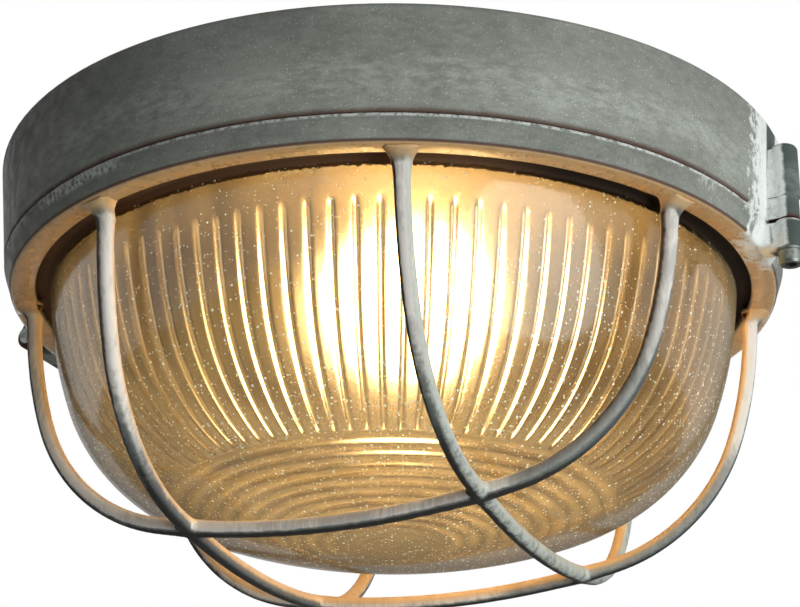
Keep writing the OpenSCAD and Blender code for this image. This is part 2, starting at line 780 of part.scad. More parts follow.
module earth_lead() {
    way_x = block_x + block_way_dx;
    lead_z = boss_z - lead_d / 2;
    neck_x = earth_x - 6.6;
    color([0.30, 0.55, 0.20])
    at_azimuth(clasp_az) {
        lead([
            [way_x, block_front_y - lead_in, way_z], [way_x, block_front_y + 6, way_z],
            [way_x + 14, block_front_y + 14, way_z + 4], [earth_x - 12, earth_y + 3, lead_z],
            [neck_x, earth_y, lead_z]
        ]);
        // Crimped eye under the earth screw
        translate([earth_x, earth_y, boss_z - eye_t]) tube(eye_out_r, screw_d / 2 + 0.1, eye_t);
        translate([neck_x - 0.9, earth_y - lead_d / 2, boss_z - eye_t]) cube([4, lead_d, eye_t]);
    }
}

// Guard: ring, shelf, four crossing bars, clasp boss and hinge knuckle in one casting

module guard_section() {
    polygon(concat(
        [[guard_r - chamfer, seam_z], [guard_r, seam_z - chamfer], [guard_low_r, guard_low_z + guard_edge_r]],
        arc([guard_low_r - guard_edge_r, guard_low_z + guard_edge_r], guard_edge_r, 0, -90, 5),
        [[guard_open_r + 1.2, guard_low_z + 0.3], [guard_open_r, guard_low_z + 1.2],
         [guard_open_r, shelf_z], [spigot_in_r, shelf_z],
         [spigot_in_r, groove_z], [groove_r, groove_z], [groove_r, groove_top_z], [spigot_in_r, groove_top_z],
         [spigot_in_r, spigot_top_z - chamfer], [spigot_in_r + chamfer, spigot_top_z],
         [spigot_r - chamfer, spigot_top_z], [spigot_r, spigot_top_z - chamfer], [spigot_r, seam_z]]
    ));
}

// Point at an angle on one arc of the bar's path
function bar_at(a, angle) = a[0] + a[1] * [cos(angle), sin(angle)];

// Angle that a length takes up along one arc of the bar's path
function bar_angle(a, length) = length / a[1] * 180 / PI;

// One stretch of a round bar, bent along an arc of the bar's path
module bar_arc(a, first, last) {
    translate([a[0][0], a[0][1], 0]) rotate([0, 0, first])
        rotate_extrude(angle = last - first, $fn = ROUND_FN)
            translate([a[1], 0]) circle(d = bar_d, $fn = 32);
}

// One cast bar. Small rounds cover its joints and the place where it runs into its neighbour.
module guard_bar() {
    joint_gap = 0.1;
    cross_a = asin(bar_offset / bar[0][1]);
    cut_a = bar_angle(bar[0], bar_d * 0.24);
    flat_end = bar_flat_a - bar_angle(bar[0], joint_gap);
    bend_gap = bar_angle(bar[1], joint_gap);
    leg_gap = bar_angle(bar[2], joint_gap);
    at_azimuth(0) translate([bar_offset, 0, 0]) rotate([90, 0, 90]) {
        bar_arc(bar[0], -90 - flat_end, -90 - cross_a - cut_a);
        bar_arc(bar[0], -90 - cross_a + cut_a, -90 + flat_end);
        translate(bar_at(bar[0], -90 - cross_a)) sphere(d = bar_d + 0.8);
        for (m = [0, 1]) mirror([m, 0, 0]) {
            bar_arc(bar[1], bar[1][2] + bend_gap, bar[1][3] - bend_gap);
            bar_arc(bar[2], bar[2][2] + leg_gap, bar[2][3]);
            translate(bar_at(bar[0], bar[0][3])) sphere(d = bar_d + 0.3);
            translate(bar_at(bar[1], bar[1][3])) sphere(d = bar_d + 0.3);
        }
    }
}

// The bar's two ends widen and lean outwards into the ring
module bar_feet() {
    top = bar_at(bar[2], bar[2][3]);
    reach = norm([bar_offset, top[0]]);
    turn = atan2(top[0], bar_offset);
    at_azimuth(0) for (m = [-1, 1])
        rotate([0, 0, m * turn]) translate([reach, 0, top[1] - 1]) rotate([0, foot_lean, 0])
            cylinder(r1 = bar_d / 2 + 0.2, r2 = bar_d / 2 + 1.1, h = foot_h);
}

module guard_knuckle() {
    knuckle_r = hinge_knuckle_d / 2;
    web_top = -seam_z + 0.8;
    web_low = -guard_low_z - guard_edge_r;
    rotate([-90, 0, 0]) translate([0, 0, -hinge_knuckle_w / 2]) linear_extrude(hinge_knuckle_w) union() {
        translate([hinge_r, -seam_z]) circle(d = hinge_knuckle_d);
        polygon([[hinge_r - 3, -seam_z + knuckle_r - 0.9], [hinge_r - knuckle_r + 0.6, web_top],
                 [guard_low_r - 1, web_top], [guard_low_r - 1, web_low], [guard_low_r + 1, web_low],
                 [hinge_r + 1, -seam_z + knuckle_r - 0.3]]);
    }
}

module guard() {
    color(paint)
    difference() {
        union() {
            rotate_extrude($fn = ROUND_FN) guard_section();
            for (i = [0 : 3]) rotate([0, 0, bar_az + i * 90]) {
                guard_bar();
                bar_feet();
            }
            at_azimuth(clasp_az) clasp_boss(seam_z, clasp_seat_z, clasp_boss_d, 1.4, 0.8);
            at_azimuth(clasp_az + 180) guard_knuckle();
        }
        at_azimuth(clasp_az) translate([clasp_r, 0, clasp_seat_z - past])
            cylinder(d = clasp_thread_d + 2 * fit, h = clasp_lug_h + 2 * past);
        hinge_bore(hinge_pin_d + 2 * fit);
    }
}

// Glass

wave_steps = 60;
inner_low = [for (i = [0 : wave_steps]) let (p = dome_at(0, i / wave_steps, glass_t)) p + [0, ring_wave(p[0])]];
low_steps = 8;
bend_steps = 12;
side_steps = 5;
rib_steps = 9;
rib_first_a = -90 + dome_low_a * rib_end_share;
rib_last_a = asin((rib_start_z - dome[2][0][1]) / (dome[2][1] - glass_t));

// Inner face of the dome from the radius where the ribs end to the depth where they start
function rib_line(t) = concat(
    arc(dome[0][0], dome[0][1] - t, rib_first_a, dome[0][3], 1),
    arc(dome[1][0], dome[1][1] - t, dome[1][2], dome[1][3], rib_steps),
    arc(dome[2][0], dome[2][1] - t, dome[2][2], rib_last_a, 3)
);

function backwards(list) = [for (i = [len(list) - 1 : -1 : 0]) list[i]];

module glass_section() {
    polygon(concat(
        [for (i = [0 : low_steps]) dome_at(0, i / low_steps, 0)],
        [for (i = [1 : bend_steps]) dome_at(1, i / bend_steps, 0)],
        [for (i = [1 : side_steps]) dome_at(2, i / side_steps, 0)],
        [[mouth_r, glass_seat_z - rim_chamfer], [mouth_r + rim_chamfer, glass_seat_z],
         [glass_flange_r, glass_seat_z], [glass_flange_r, glass_top_z], [mouth_r - glass_t, glass_top_z]],
        [for (i = [side_steps : -1 : 1]) dome_at(2, i / side_steps, glass_t)],
        [for (i = [bend_steps : -1 : 1]) dome_at(1, i / bend_steps, glass_t)],
        backwards(inner_low)
    ));
}

module glass_dome() {
    rib_a = 360 / rib_count * rib_share;
    color([0.86, 0.84, 0.74, 0.4]) {
        rotate_extrude($fn = ROUND_FN) glass_section();
        for (i = [0 : rib_count - 1])
            rotate_extrude(angle = rib_a, start = i * 360 / rib_count, $fn = ROUND_FN)
                polygon(concat(rib_line(glass_t - bite), backwards(rib_line(glass_t + rib_h))));
    }
}

module glass_gasket() {
    color(black)
    rotate_extrude($fn = ROUND_FN)
        translate([guard_open_r + side_gap, shelf_z])
            square([glass_flange_r - guard_open_r - side_gap, gasket_t]);
}

// Open spring ring in the groove above the glass flange
module retaining_ring() {
    gap_a = 6;
    color(steel)
    translate([0, 0, groove_z + retainer_fit / 2])
        rotate_extrude(angle = 360 - gap_a, start = clasp_az - 90 + gap_a / 2, $fn = ROUND_FN)
            translate([spigot_in_r + retainer_depth - retainer_w, 0]) square([retainer_w, retainer_t]);
}

// Clasp screw and its washer

module clasp_washer() {
    color(steel)
    at_azimuth(clasp_az) translate([clasp_r, 0, clasp_seat_z - clasp_washer_t])
        tube(clasp_boss_d / 2 - 0.4, screw_neck_d / 2 + fit, clasp_washer_t);
}

module clasp_screw() {
    head_z = clasp_seat_z - clasp_washer_t - clasp_head_h;
    head_edge = 1;
    tip_h = 0.8;
    socket_depth = 3;
    color(steel)
    at_azimuth(clasp_az) translate([clasp_r, 0, 0])
    difference() {
        union() {
            translate([0, 0, head_z]) cylinder(d1 = clasp_head_d - head_edge, d2 = clasp_head_d, h = head_edge);
            translate([0, 0, head_z + head_edge]) cylinder(d = clasp_head_d, h = clasp_head_h - head_edge);
            translate([0, 0, head_z + head_edge]) cylinder(d = screw_neck_d, h = clasp_tip_z - head_z - 2);
            translate([0, 0, clasp_tip_z - clasp_thread_l]) cylinder(d = clasp_thread_d, h = clasp_thread_l - tip_h);
            translate([0, 0, clasp_tip_z - tip_h])
                cylinder(d1 = clasp_thread_d, d2 = clasp_thread_d - 2 * tip_h, h = tip_h);
        }
        translate([0, 0, head_z - past]) cylinder(d = clasp_socket_d, h = socket_depth + past, $fn = 6);
    }
}

base_housing();
base_seal();
cable_grommet();
hinge_pin();
holder_bracket();
bracket_screws();
lampholder_body();
lampholder_shell();
centre_contact();
holder_screws();
light_bulb();
terminal_block();
terminal_inserts();
terminal_screws();
block_screws();
earth_screw();
live_lead();
neutral_lead();
earth_lead();
guard();
glass_dome();
glass_gasket();
retaining_ring();
clasp_washer();
clasp_screw();
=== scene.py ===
"""Ceiling light: the ribbed glass, the brushed paint, the cast bars, the lit lamp and a plain studio."""

import json
import math

import bmesh
import bpy
from mathutils import Matrix, Vector

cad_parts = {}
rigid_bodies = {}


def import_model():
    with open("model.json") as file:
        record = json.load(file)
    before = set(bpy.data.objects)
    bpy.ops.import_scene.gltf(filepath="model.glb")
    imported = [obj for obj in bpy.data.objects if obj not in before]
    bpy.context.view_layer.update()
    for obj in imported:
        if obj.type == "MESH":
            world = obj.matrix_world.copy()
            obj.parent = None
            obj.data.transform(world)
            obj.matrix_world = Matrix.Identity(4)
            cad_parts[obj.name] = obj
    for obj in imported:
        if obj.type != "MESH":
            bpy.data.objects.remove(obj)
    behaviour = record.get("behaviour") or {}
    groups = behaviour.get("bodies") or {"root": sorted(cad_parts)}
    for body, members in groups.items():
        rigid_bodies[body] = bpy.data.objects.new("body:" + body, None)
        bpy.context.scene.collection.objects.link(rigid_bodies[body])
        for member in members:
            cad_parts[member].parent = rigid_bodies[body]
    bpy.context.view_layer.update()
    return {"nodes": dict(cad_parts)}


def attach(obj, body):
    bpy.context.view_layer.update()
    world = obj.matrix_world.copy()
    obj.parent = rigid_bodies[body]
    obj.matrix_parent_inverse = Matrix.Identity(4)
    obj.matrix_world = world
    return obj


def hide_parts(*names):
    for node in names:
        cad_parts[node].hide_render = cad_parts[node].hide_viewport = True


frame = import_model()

bl_info = {
    "name": "Caged ceiling light",
    "version": (1, 0, 0),
    "blender": (4, 5, 0),
    "location": "3D View > Sidebar > Ceiling Light",
    "description": "Dresses the cast ceiling light: glass, guard bars, paint, lamp and studio",
    "category": "Object",
}

MM = 0.001
CLASP_AZIMUTH = math.radians(66)
CLASP_R = 154 * MM
BAR_OFFSET = 54.6 * MM
BAR_AZIMUTH = math.radians(-22.5)
# The lamp's level axis, pointing to the clasp
LAMP_AXIS = Vector((math.sin(CLASP_AZIMUTH), -math.cos(CLASP_AZIMUTH), 0))

# Heights and radii that the finishes follow
BASE_R = 150 * MM
BASE_TAPER = 0.078
SEAM = -38.6 * MM
RING_TOP = -39.9 * MM
RING_FOOT = -47.0 * MM
RING_EDGE_R = 144.3 * MM
BARS_BEGIN = -49.5 * MM
GLASS_NECK = -48.2 * MM


# Sizes and finishes


def length(name, description, size):
    return bpy.props.FloatProperty(name=name, description=description, default=size * MM, unit="LENGTH")


def number(name, description, value):
    return bpy.props.FloatProperty(name=name, description=description, default=value)


def tone(name, description, colour):
    return bpy.props.FloatVectorProperty(name=name, description=description, default=colour, subtype="COLOR")


def power(name, description, watts):
    return bpy.props.FloatProperty(name=name, description=description, default=watts, unit="POWER")


class GlassSizes(bpy.types.PropertyGroup):
    wall: length("Wall", "Thickness of the glass", 4.2)
    rib_count: bpy.props.IntProperty(name="Ribs", description="Number of upright ribs inside the wall", default=96)
    rib_height: length("Rib height", "How far a rib stands in", 1.1)
    rib_share: number("Rib share", "Share of the pitch that a rib fills", 0.42)
    ring_count: bpy.props.IntProperty(name="Rings", description="Number of rings inside the bottom", default=10)
    ring_height: length("Ring height", "How far a ring stands in", 0.9)
    eye_ring_height: length("Eye ring height", "Height of the fine rings in the eye", 0.12)
    tint: tone("Tint", "Colour of light through the glass", (0.50, 0.42, 0.28))
    haze_colour: tone("Haze colour", "Colour of the light that the hazy inside spreads", (0.92, 0.76, 0.48))
    edge_tone: tone("Edge tone", "Dull brown tone where the glass is seen edge-on", (0.22, 0.168, 0.098))
    haze: number("Haze", "Share of the light that the hazy inside spreads", 0.072)
    inner_roughness: number("Inner roughness", "Roughness of the glass inside", 0.27)
    seed_size: length("Bubble spacing", "Distance between the bubbles", 2.2)


class GuardSizes(bpy.types.PropertyGroup):
    bar_width: length("Bar width", "Width of a cast bar", 5.6)
    foot_flare: length("Foot flare", "How much a bar widens where it meets the ring", 4.4)
    foot_length: length("Foot length", "Length over which the bar widens", 2.8)
    knot_flare: length("Crossing flare", "How much the bars widen where they cross", 0.5)
    grain: length("Grain", "Size of the faces of the cast bars", 0.75)


class PaintFinish(bpy.types.PropertyGroup):
    colour: tone("Paint", "Grey-green paint", (0.280, 0.292, 0.262))
    # Dark worn metal, which also serves as the painted shade on the bars
    dark: tone("Dark wear and painted shade", "Dark rubbed metal and painted shade", (0.030, 0.027, 0.025))
    chalk: tone("Chalk", "White dry-brushed paint", (0.84, 0.86, 0.84))
    # Painted highlight: the pale tone of the bars' front faces
    front_highlight: tone("Bar fronts", "Painted highlight on the bar fronts", (0.86, 0.80, 0.75))
    # Painted light: the lamp's gold glow on the guard's underside and on the bar faces that look at the glass
    lamp_lit_gold: tone("Underside", "Painted lamp light on the paint", (0.62, 0.40, 0.20))
    # Rust along the ring's lower edge, also used as a painted shadow just above the base's seam
    rust_and_seam_shadow: tone("Edge", "Red-brown line along the ring's edge, and painted shadow above the seam", (0.075, 0.022, 0.012))
    lining: tone("Lining", "Cream paint inside the base", (0.27, 0.22, 0.16))


class LampFinish(bpy.types.PropertyGroup):
    colour: tone("Light", "Colour of the lamp's light", (1.0, 0.75, 0.42))
    strength: number("Strength", "Brightness of the lit globe", 28.0)


class StudioSettings(bpy.types.PropertyGroup):
    key: power("Key light", "Power of the large light on the right", 21.5)
    fill: power("Fill light", "Power of the light on the left", 0.1)
    back: power("Back light", "Power of the light behind the ceiling light", 9.0)
    room: number("Room light", "Brightness of the surroundings", 0.050)
    floor_drop: length("Floor drop", "Height of the ceiling above the floor", 1100)


# Helpers for node trees


class NodeTree:
    """A node tree that is put together step by step."""

    def __init__(self, tree):
        self.tree = tree
        tree.nodes.clear()

    def node(self, kind, inputs=None, **settings):
        made = self.tree.nodes.new(kind)
        for key, value in settings.items():
            setattr(made, key, value)
        for key, value in (inputs or {}).items():
            self.feed(made.inputs[key], value)
        return made

    def feed(self, socket, value):
        if isinstance(value, bpy.types.NodeSocket):
            self.tree.links.new(value, socket)
        elif isinstance(value, (tuple, list)) and socket.type == "RGBA" and len(value) == 3:
            socket.default_value = (*value, 1)
        else:
            socket.default_value = value

    def calc(self, operation, *values, clamp=False):
        made = self.node("ShaderNodeMath", operation=operation, use_clamp=clamp)
        for i, value in enumerate(values):
            self.feed(made.inputs[i], value)
        return made.outputs[0]

    def times(self, first, *others):
        """The product of all the values."""
        for other in others:
            first = self.calc("MULTIPLY", first, other)
        return first

    def rest(self, share):
        """What a share leaves of 1."""
        return self.calc("SUBTRACT", 1.0, share)

    def vector(self, operation, *values):
        made = self.node("ShaderNodeVectorMath", operation=operation)
        for i, value in enumerate(values):
            self.feed(made.inputs[i], value)
        return made.outputs["Value" if operation in ("DOT_PRODUCT", "LENGTH", "DISTANCE") else "Vector"]

    def parts(self, vector):
        return self.node("ShaderNodeSeparateXYZ", {0: vector}).outputs

    def blend(self, share, first, second):
        made = self.node("ShaderNodeMixShader")
        for place, value in enumerate((share, first, second)):
            self.feed(made.inputs[place], value)
        return made.outputs[0]


class Finish(NodeTree):
    """A node material."""

    def __init__(self, name):
        self.material = bpy.data.materials.new(name)
        self.material.use_nodes = True
        super().__init__(self.material.node_tree)
        self.place = self.node("ShaderNodeTexCoord").outputs["Object"]

    def level(self):
        """The point's place seen from above."""
        x, y, _ = self.parts(self.place)
        return self.node("ShaderNodeCombineXYZ", {"X": x, "Y": y}).outputs[0]

    def stretched(self, scale):
        """Object coordinates scaled by different amounts."""
        return self.node("ShaderNodeMapping", {"Vector": self.place, "Scale": scale}).outputs[0]

    def noise(self, scale, detail=4.0, roughness=0.55, at=None):
        made = self.node("ShaderNodeTexNoise", {
            "Vector": at if at is not None else self.place, "Scale": scale, "Detail": detail, "Roughness": roughness,
        })
        return made.outputs["Fac"]

    def cells(self, scale):
        """Distance to the middle of the nearest cell, and a random number for that cell."""
        made = self.node("ShaderNodeTexVoronoi", {"Vector": self.place, "Scale": scale, "Randomness": 1.0})
        return made.outputs["Distance"], self.parts(made.outputs["Color"])[0]

    def between(self, value, low, high, to_low=0.0, to_high=1.0):
        """The value's place between low and high, eased at both ends."""
        made = self.node("ShaderNodeMapRange", interpolation_type="SMOOTHSTEP")
        numbers = {"Value": value, "From Min": low, "From Max": high, "To Min": to_low, "To Max": to_high}
        for key, entry in numbers.items():
            self.feed(made.inputs[key], entry)
        return made.outputs[0]

    def wobble(self, value, source, amount):
        """The value moved up and down by a noise, by half the amount each way."""
        return self.calc("ADD", value, self.times(self.calc("SUBTRACT", source, 0.5), amount))

    def mix(self, share, first, second):
        made = self.node("ShaderNodeMix", data_type="RGBA")
        for place, value in ((0, share), (6, first), (7, second)):
            self.feed(made.inputs[place], value)
        return made.outputs[2]

    def bump(self, height, depth, strength=1.0, under=None):
        inputs = {"Height": height, "Distance": depth, "Strength": strength}
        if under is not None:
            inputs["Normal"] = under
        return self.node("ShaderNodeBump", inputs).outputs[0]

    def principled(self, **inputs):
        named = {key.replace("_", " "): value for key, value in inputs.items()}
        return self.node("ShaderNodeBsdfPrincipled", named).outputs[0]

    def done(self, surface):
        self.node("ShaderNodeOutputMaterial", {"Surface": surface})
        return self.material


def brushed_paint(name, on_guard):
    """Matt grey-green paint over dark metal, dry-brushed with chalky white."""
    paint = bpy.context.scene.light_paint
    dark, chalk_white = tuple(paint.dark), tuple(paint.chalk)
    f = Finish(name)
    x, _, z = f.parts(f.place)
    level = f.level()
    reach = f.vector("LENGTH", level)
    strokes = f.noise(1.0, 5, 0.65, f.stretched((170, 170, 420)))
    speckle = f.noise(1300, 3, 0.7)
    cloud = f.noise(20, 4, 0.6)
    ragged = f.noise(260, 6, 0.72)
    coarse = f.noise(75, 5, 0.65)
    worn = f.noise(420, 5, 0.75)

    # Cloudy brush strokes, speckles and sparse white flecks
    blend = f.calc("ADD", f.times(strokes, 0.4), f.times(cloud, 0.6))
    tones = [tuple(c * part for c in paint.colour) for part in (0.72, 1.26)]
    colour = f.mix(f.between(blend, 0.32, 0.68), *tones)
    colour = f.mix(f.times(f.between(speckle, 0.58, 0.74), 0.45), colour, chalk_white)
    colour = f.mix(f.times(f.between(speckle, 0.42, 0.26), 0.35), colour, dark)
    middle, luck = f.cells(900.0)
    flecks = f.times(f.between(middle, 0.34, 0.14), f.between(luck, 0.55, 0.95), f.between(cloud, 0.38, 0.60))
    colour = f.mix(f.times(flecks, 0.45), colour, chalk_white)

    # White brushed over the wall and the ring beside the clasp, but not on its bosses, which get a painted shade
    near = f.vector("DISTANCE", level, tuple(LAMP_AXIS * CLASP_R))
    boss = f.between(near, 7.8 * MM, 6.4 * MM)
    normal = f.node("ShaderNodeNewGeometry").outputs["Normal"]
    across, _, down = f.parts(normal)
    lit_side = f.between(f.wobble(across, ragged, 0.5), -0.15, -0.45)
    chalk = f.between(f.wobble(near, ragged, 46 * MM), 22.5 * MM, 15 * MM)
    chalk = f.times(chalk, f.calc("MAXIMUM", f.rest(boss), lit_side))
    # Painted shade: the clasp's bosses darker
    colour = f.mix(boss, colour, (0.088, 0.112, 0.106))

    def patch(place, size):
        return f.between(f.wobble(f.vector("DISTANCE", level, place), coarse, size), size, size * 0.5)

    left_patch = patch((-112 * MM, -98 * MM, 0), 30 * MM)
    scuffed = f.calc("MAXIMUM", left_patch, patch((112 * MM, -103 * MM, 0), 9 * MM))
    if on_guard:
        # Bars: a painted highlight on their upright front faces, and painted shade below, along their left edges and
        # on faces turned right and down
        on_bar = f.between(z, BARS_BEGIN, BARS_BEGIN - 3.5 * MM)
        off_bar = f.rest(on_bar)
        front = f.vector("DOT_PRODUCT", normal, (0.35, -0.93, 0.0))
        streaked = f.noise(1.0, 5, 0.7, f.stretched((420, 420, 90)))
        patchy = f.between(f.wobble(f.noise(26, 3, 0.6), streaked, 0.9), 0.34, 0.58, 0.62, 1.0)
        front_highlight = f.times(f.between(front, 0.0, 0.30), f.between(f.wobble(down, ragged, 0.5), -0.72, -0.42))
        # Less of the painted highlight in a patch low on the right
        bare = f.between(f.wobble(z, streaked, 20 * MM), -96 * MM, -110 * MM)
        bare = f.times(f.between(x, 36 * MM, 46 * MM), bare)
        front_highlight = f.times(front_highlight, f.rest(f.times(bare, 0.7)))
        # Painted shade on the undersides and the left-facing edges
        below = f.between(f.wobble(down, ragged, 0.25), -0.72, -0.88)
        edge_shade = f.calc("MAXIMUM", below, f.between(f.wobble(across, ragged, 0.35), -0.52, -0.72))
        # Painted shade, grey-blue, on faces turned right and down
        right = f.vector("DOT_PRODUCT", normal, (0.75, -0.10, -0.66))
        turned_right = f.between(f.wobble(right, ragged, 0.30), 0.74, 0.90)
        # Painted highlight: the front bar is pale on its right side down to where it goes out of sight
        aside = f.vector("DOT_PRODUCT", f.place, (math.cos(BAR_AZIMUTH), math.sin(BAR_AZIMUTH), 0))
        off_line = f.calc("ABSOLUTE", f.calc("SUBTRACT", aside, BAR_OFFSET))
        sideways = f.vector("DOT_PRODUCT", normal, (0.88, -0.37, -0.30))
        side_highlight = f.between(f.wobble(sideways, ragged, 0.4), 0.45, 0.70)
        side_highlight = f.times(f.between(off_line, 5.0 * MM, 3.4 * MM), side_highlight)
        # Painted light: the lamp's gold glow on the faces that look at the glass
        inwards = f.vector("NORMALIZE", f.vector("SUBTRACT", (0, 0, -60 * MM), f.place))
        lamp_lit = f.between(f.wobble(f.vector("DOT_PRODUCT", normal, inwards), ragged, 0.3), 0.10, 0.45)
        for shares, over in (
            ((0.7,), (0.095, 0.112, 0.112)),
            ((front_highlight, patchy), tuple(paint.front_highlight)),
            ((turned_right, 0.85), (0.060, 0.072, 0.078)),
            ((edge_shade, 0.95), dark),
            ((side_highlight, f.between(streaked, 0.36, 0.56, 0.35, 0.9)), (0.56, 0.59, 0.54)),
            ((lamp_lit, 0.75), tuple(paint.lamp_lit_gold)),
        ):
            colour = f.mix(f.times(on_bar, *shares), colour, over)
        # The ring: a darker wall, painted lamp light in gold on the underside behind a red-brown edge, and a white
        # top edge of chalk with a painted highlight
        under = f.times(f.between(z, RING_FOOT, RING_FOOT - 1 * MM), f.between(reach, 144.2 * MM, 143.6 * MM))
        off_edge = f.calc("ABSOLUTE", f.calc("SUBTRACT", reach, RING_EDGE_R))
        edge = f.times(f.between(off_edge, 0.8 * MM, 0.3 * MM), f.between(z, -46.8 * MM, -47.5 * MM))
        for share, over in ((0.16, dark), (under, tuple(paint.lamp_lit_gold)), (f.times(edge, 0.8), tuple(paint.rust_and_seam_shadow))):
            colour = f.mix(f.times(off_bar, share), colour, over)
        rim = f.times(f.between(z, RING_TOP - 0.6 * MM, RING_TOP), f.between(worn, 0.40, 0.54))
        chalk = f.calc("MAXIMUM", chalk, f.times(rim, 0.75))
        scratch = f.noise(1.0, 4, 0.75, f.stretched((700, 700, 260)))
        top = f.between(f.wobble(z, coarse, 4 * MM), -44.2 * MM, -42.0 * MM)
        scuffs = f.times(scuffed, top, f.between(scratch, 0.46, 0.50))
    else:
        # The base: cream inside, darker up to the ceiling, a brushed band low down and a painted red-brown shadow
        # above the seam
        wall_in = f.calc("SUBTRACT", reach, f.calc("ADD", BASE_R, f.times(z, BASE_TAPER)))
        colour = f.mix(f.between(wall_in, -2 * MM, -3 * MM), colour, tuple(paint.lining))
        high = f.between(f.wobble(z, cloud, 30 * MM), -26 * MM, -4 * MM)
        colour = f.mix(f.times(high, 0.22), colour, dark)
        waved = f.wobble(z, cloud, 12 * MM)
        band = f.times(f.between(waved, -34.5 * MM, -28.5 * MM), f.between(waved, -17 * MM, -23 * MM))
        colour = f.mix(f.times(band, f.between(strokes, 0.30, 0.70), 0.13), colour, chalk_white)
        # Painted shadow: red-brown shade just above the seam
        seam_shadow = f.between(f.wobble(z, cloud, 0.8 * MM), SEAM + 2 * MM, SEAM - 0.2 * MM)
        colour = f.mix(f.times(seam_shadow, 0.92), colour, tuple(paint.rust_and_seam_shadow))
        scuffs = f.times(scuffed, f.between(z, SEAM + 0.8 * MM, SEAM), f.between(worn, 0.56, 0.66))
    chalk = f.calc("MAXIMUM", chalk, f.times(scuffs, 0.9), clamp=True)
    chalk = f.times(chalk, f.between(worn, 0.28, 0.48, 0.60, 1.0))
    colour = f.mix(chalk, colour, chalk_white)
    skin = f.bump(f.noise(2200, 4, 0.6), 0.10 * MM, 0.5)
    skin = f.bump(coarse, 0.35 * MM, 0.35, skin)
    skin = f.bump(chalk, 0.12 * MM, 0.5, skin)
    rough = f.between(f.noise(180, 4, 0.6), 0.3, 0.7, 0.60, 0.82)
    gloss = 0.22
    if on_guard:
        glossy = f.times(under, off_bar, 0.40)
        rough = f.calc("SUBTRACT", rough, glossy)
        gloss = f.calc("ADD", gloss, glossy)
    return f.done(f.principled(Base_Color=colour, Roughness=rough, Specular_IOR_Level=gloss, Normal=skin))


def seeded_glass():
    """Tinted pressed glass that is hazy inside, with fine bubbles, and dabs of dark sealant round its neck."""
    glass = bpy.context.scene.light_glass
    f = Finish("seeded_glass")
    x, _, z = f.parts(f.place)
    inside, ridge, rib_shade = (f.node("ShaderNodeAttribute", attribute_name=name).outputs["Fac"]
                            for name in ("inside", "ridge", "rib_shade"))
    outside = f.rest(inside)

    def bubbles(scale, most, least):
        """Round spots of random size, smaller near the neck. No cell under the least number has one."""
        middle, luck = f.cells(scale)
        size = f.times(f.between(luck, least, 1.0, 0.0, most), f.between(z, -60 * MM, -95 * MM, 0.80, 1.06))
        return f.between(f.calc("SUBTRACT", size, middle), 0.0, 0.04)

    large, small = bubbles(1 / glass.seed_size, 0.25, 0.40), bubbles(1.8 / glass.seed_size, 0.27, 0.36)
    seeds = f.times(outside, f.calc("MAXIMUM", large, small))
    wave = f.bump(f.noise(70, 2, 0.5), 0.6 * MM, 0.25)
    wave = f.bump(f.noise(420, 3, 0.6), 0.08 * MM, f.between(inside, 0.0, 1.0, 0.20, 0.45), wave)
    # Painted shade: the tint darkened on one side of each rib and in the grooves between the rings
    rib_shaded_tint = f.mix(f.times(rib_shade, 0.75), tuple(glass.tint), tuple(c * 0.22 for c in glass.tint))
    clear = f.principled(Base_Color=rib_shaded_tint, Roughness=f.between(inside, 0.0, 1.0, 0.12, glass.inner_roughness),
                         IOR=1.5, Specular_IOR_Level=0.25, Transmission_Weight=1.0,
                         Normal=f.bump(seeds, 0.1 * MM, 0.2, wave))

    # Light spread by the hazy inside, more on the ridges and at the neck
    haze = f.node("ShaderNodeBsdfTranslucent", {"Color": tuple(glass.haze_colour), "Normal": wave}).outputs[0]
    smears = f.between(f.noise(1.0, 3, 0.6, f.stretched((60, 60, 14))), 0.3, 0.7, 0.5, 1.5)
    share = f.times(inside, glass.haze, smears)
    share = f.calc("MULTIPLY", share, f.calc("ADD", 1.0, f.times(ridge, 1.8)), clamp=True)
    share = f.calc("MULTIPLY", share, f.between(z, -72 * MM, -56 * MM, 1.0, 1.9), clamp=True)
    # Bubbles that catch the lamp's light and the room's
    spark = f.node("ShaderNodeBsdfTranslucent", {"Color": (0.62, 0.85, 1.0), "Normal": wave}).outputs[0]
    spark = f.blend(0.5, spark, f.node("ShaderNodeBsdfDiffuse", {"Color": (0.94, 0.95, 0.90)}).outputs[0])
    # A dull brown tone where the outside is seen edge-on
    edge_on = f.between(f.node("ShaderNodeLayerWeight", {"Blend": 0.5}).outputs["Facing"], 0.52, 0.92)
    edge_tone = f.node("ShaderNodeBsdfDiffuse", {"Color": tuple(glass.edge_tone)}).outputs[0]
    clear = f.blend(f.times(edge_on, outside, 0.85), clear, edge_tone)
    surface = f.blend(f.times(seeds, 0.85), f.blend(share, clear, haze), spark)

    # Sealant with a ragged lower edge, nearly black on the right, and lightened to brown on the left as painted light
    sealed = f.between(f.wobble(z, f.noise(520, 5, 0.7), 3 * MM), GLASS_NECK, GLASS_NECK + 0.3 * MM)
    brown = f.mix(f.between(x, 20 * MM, 60 * MM), (0.16, 0.082, 0.040), (0.030, 0.018, 0.011))
    surface = f.blend(sealed, surface, f.principled(Base_Color=brown, Roughness=0.8, Specular_IOR_Level=0.2))

    shadow = f.node("ShaderNodeLightPath").outputs["Is Shadow Ray"]
    through = f.node("ShaderNodeBsdfTransparent", {"Color": tuple(c ** 0.5 for c in glass.tint)}).outputs[0]
    return f.done(f.blend(f.times(shadow, f.rest(sealed)), surface, through))


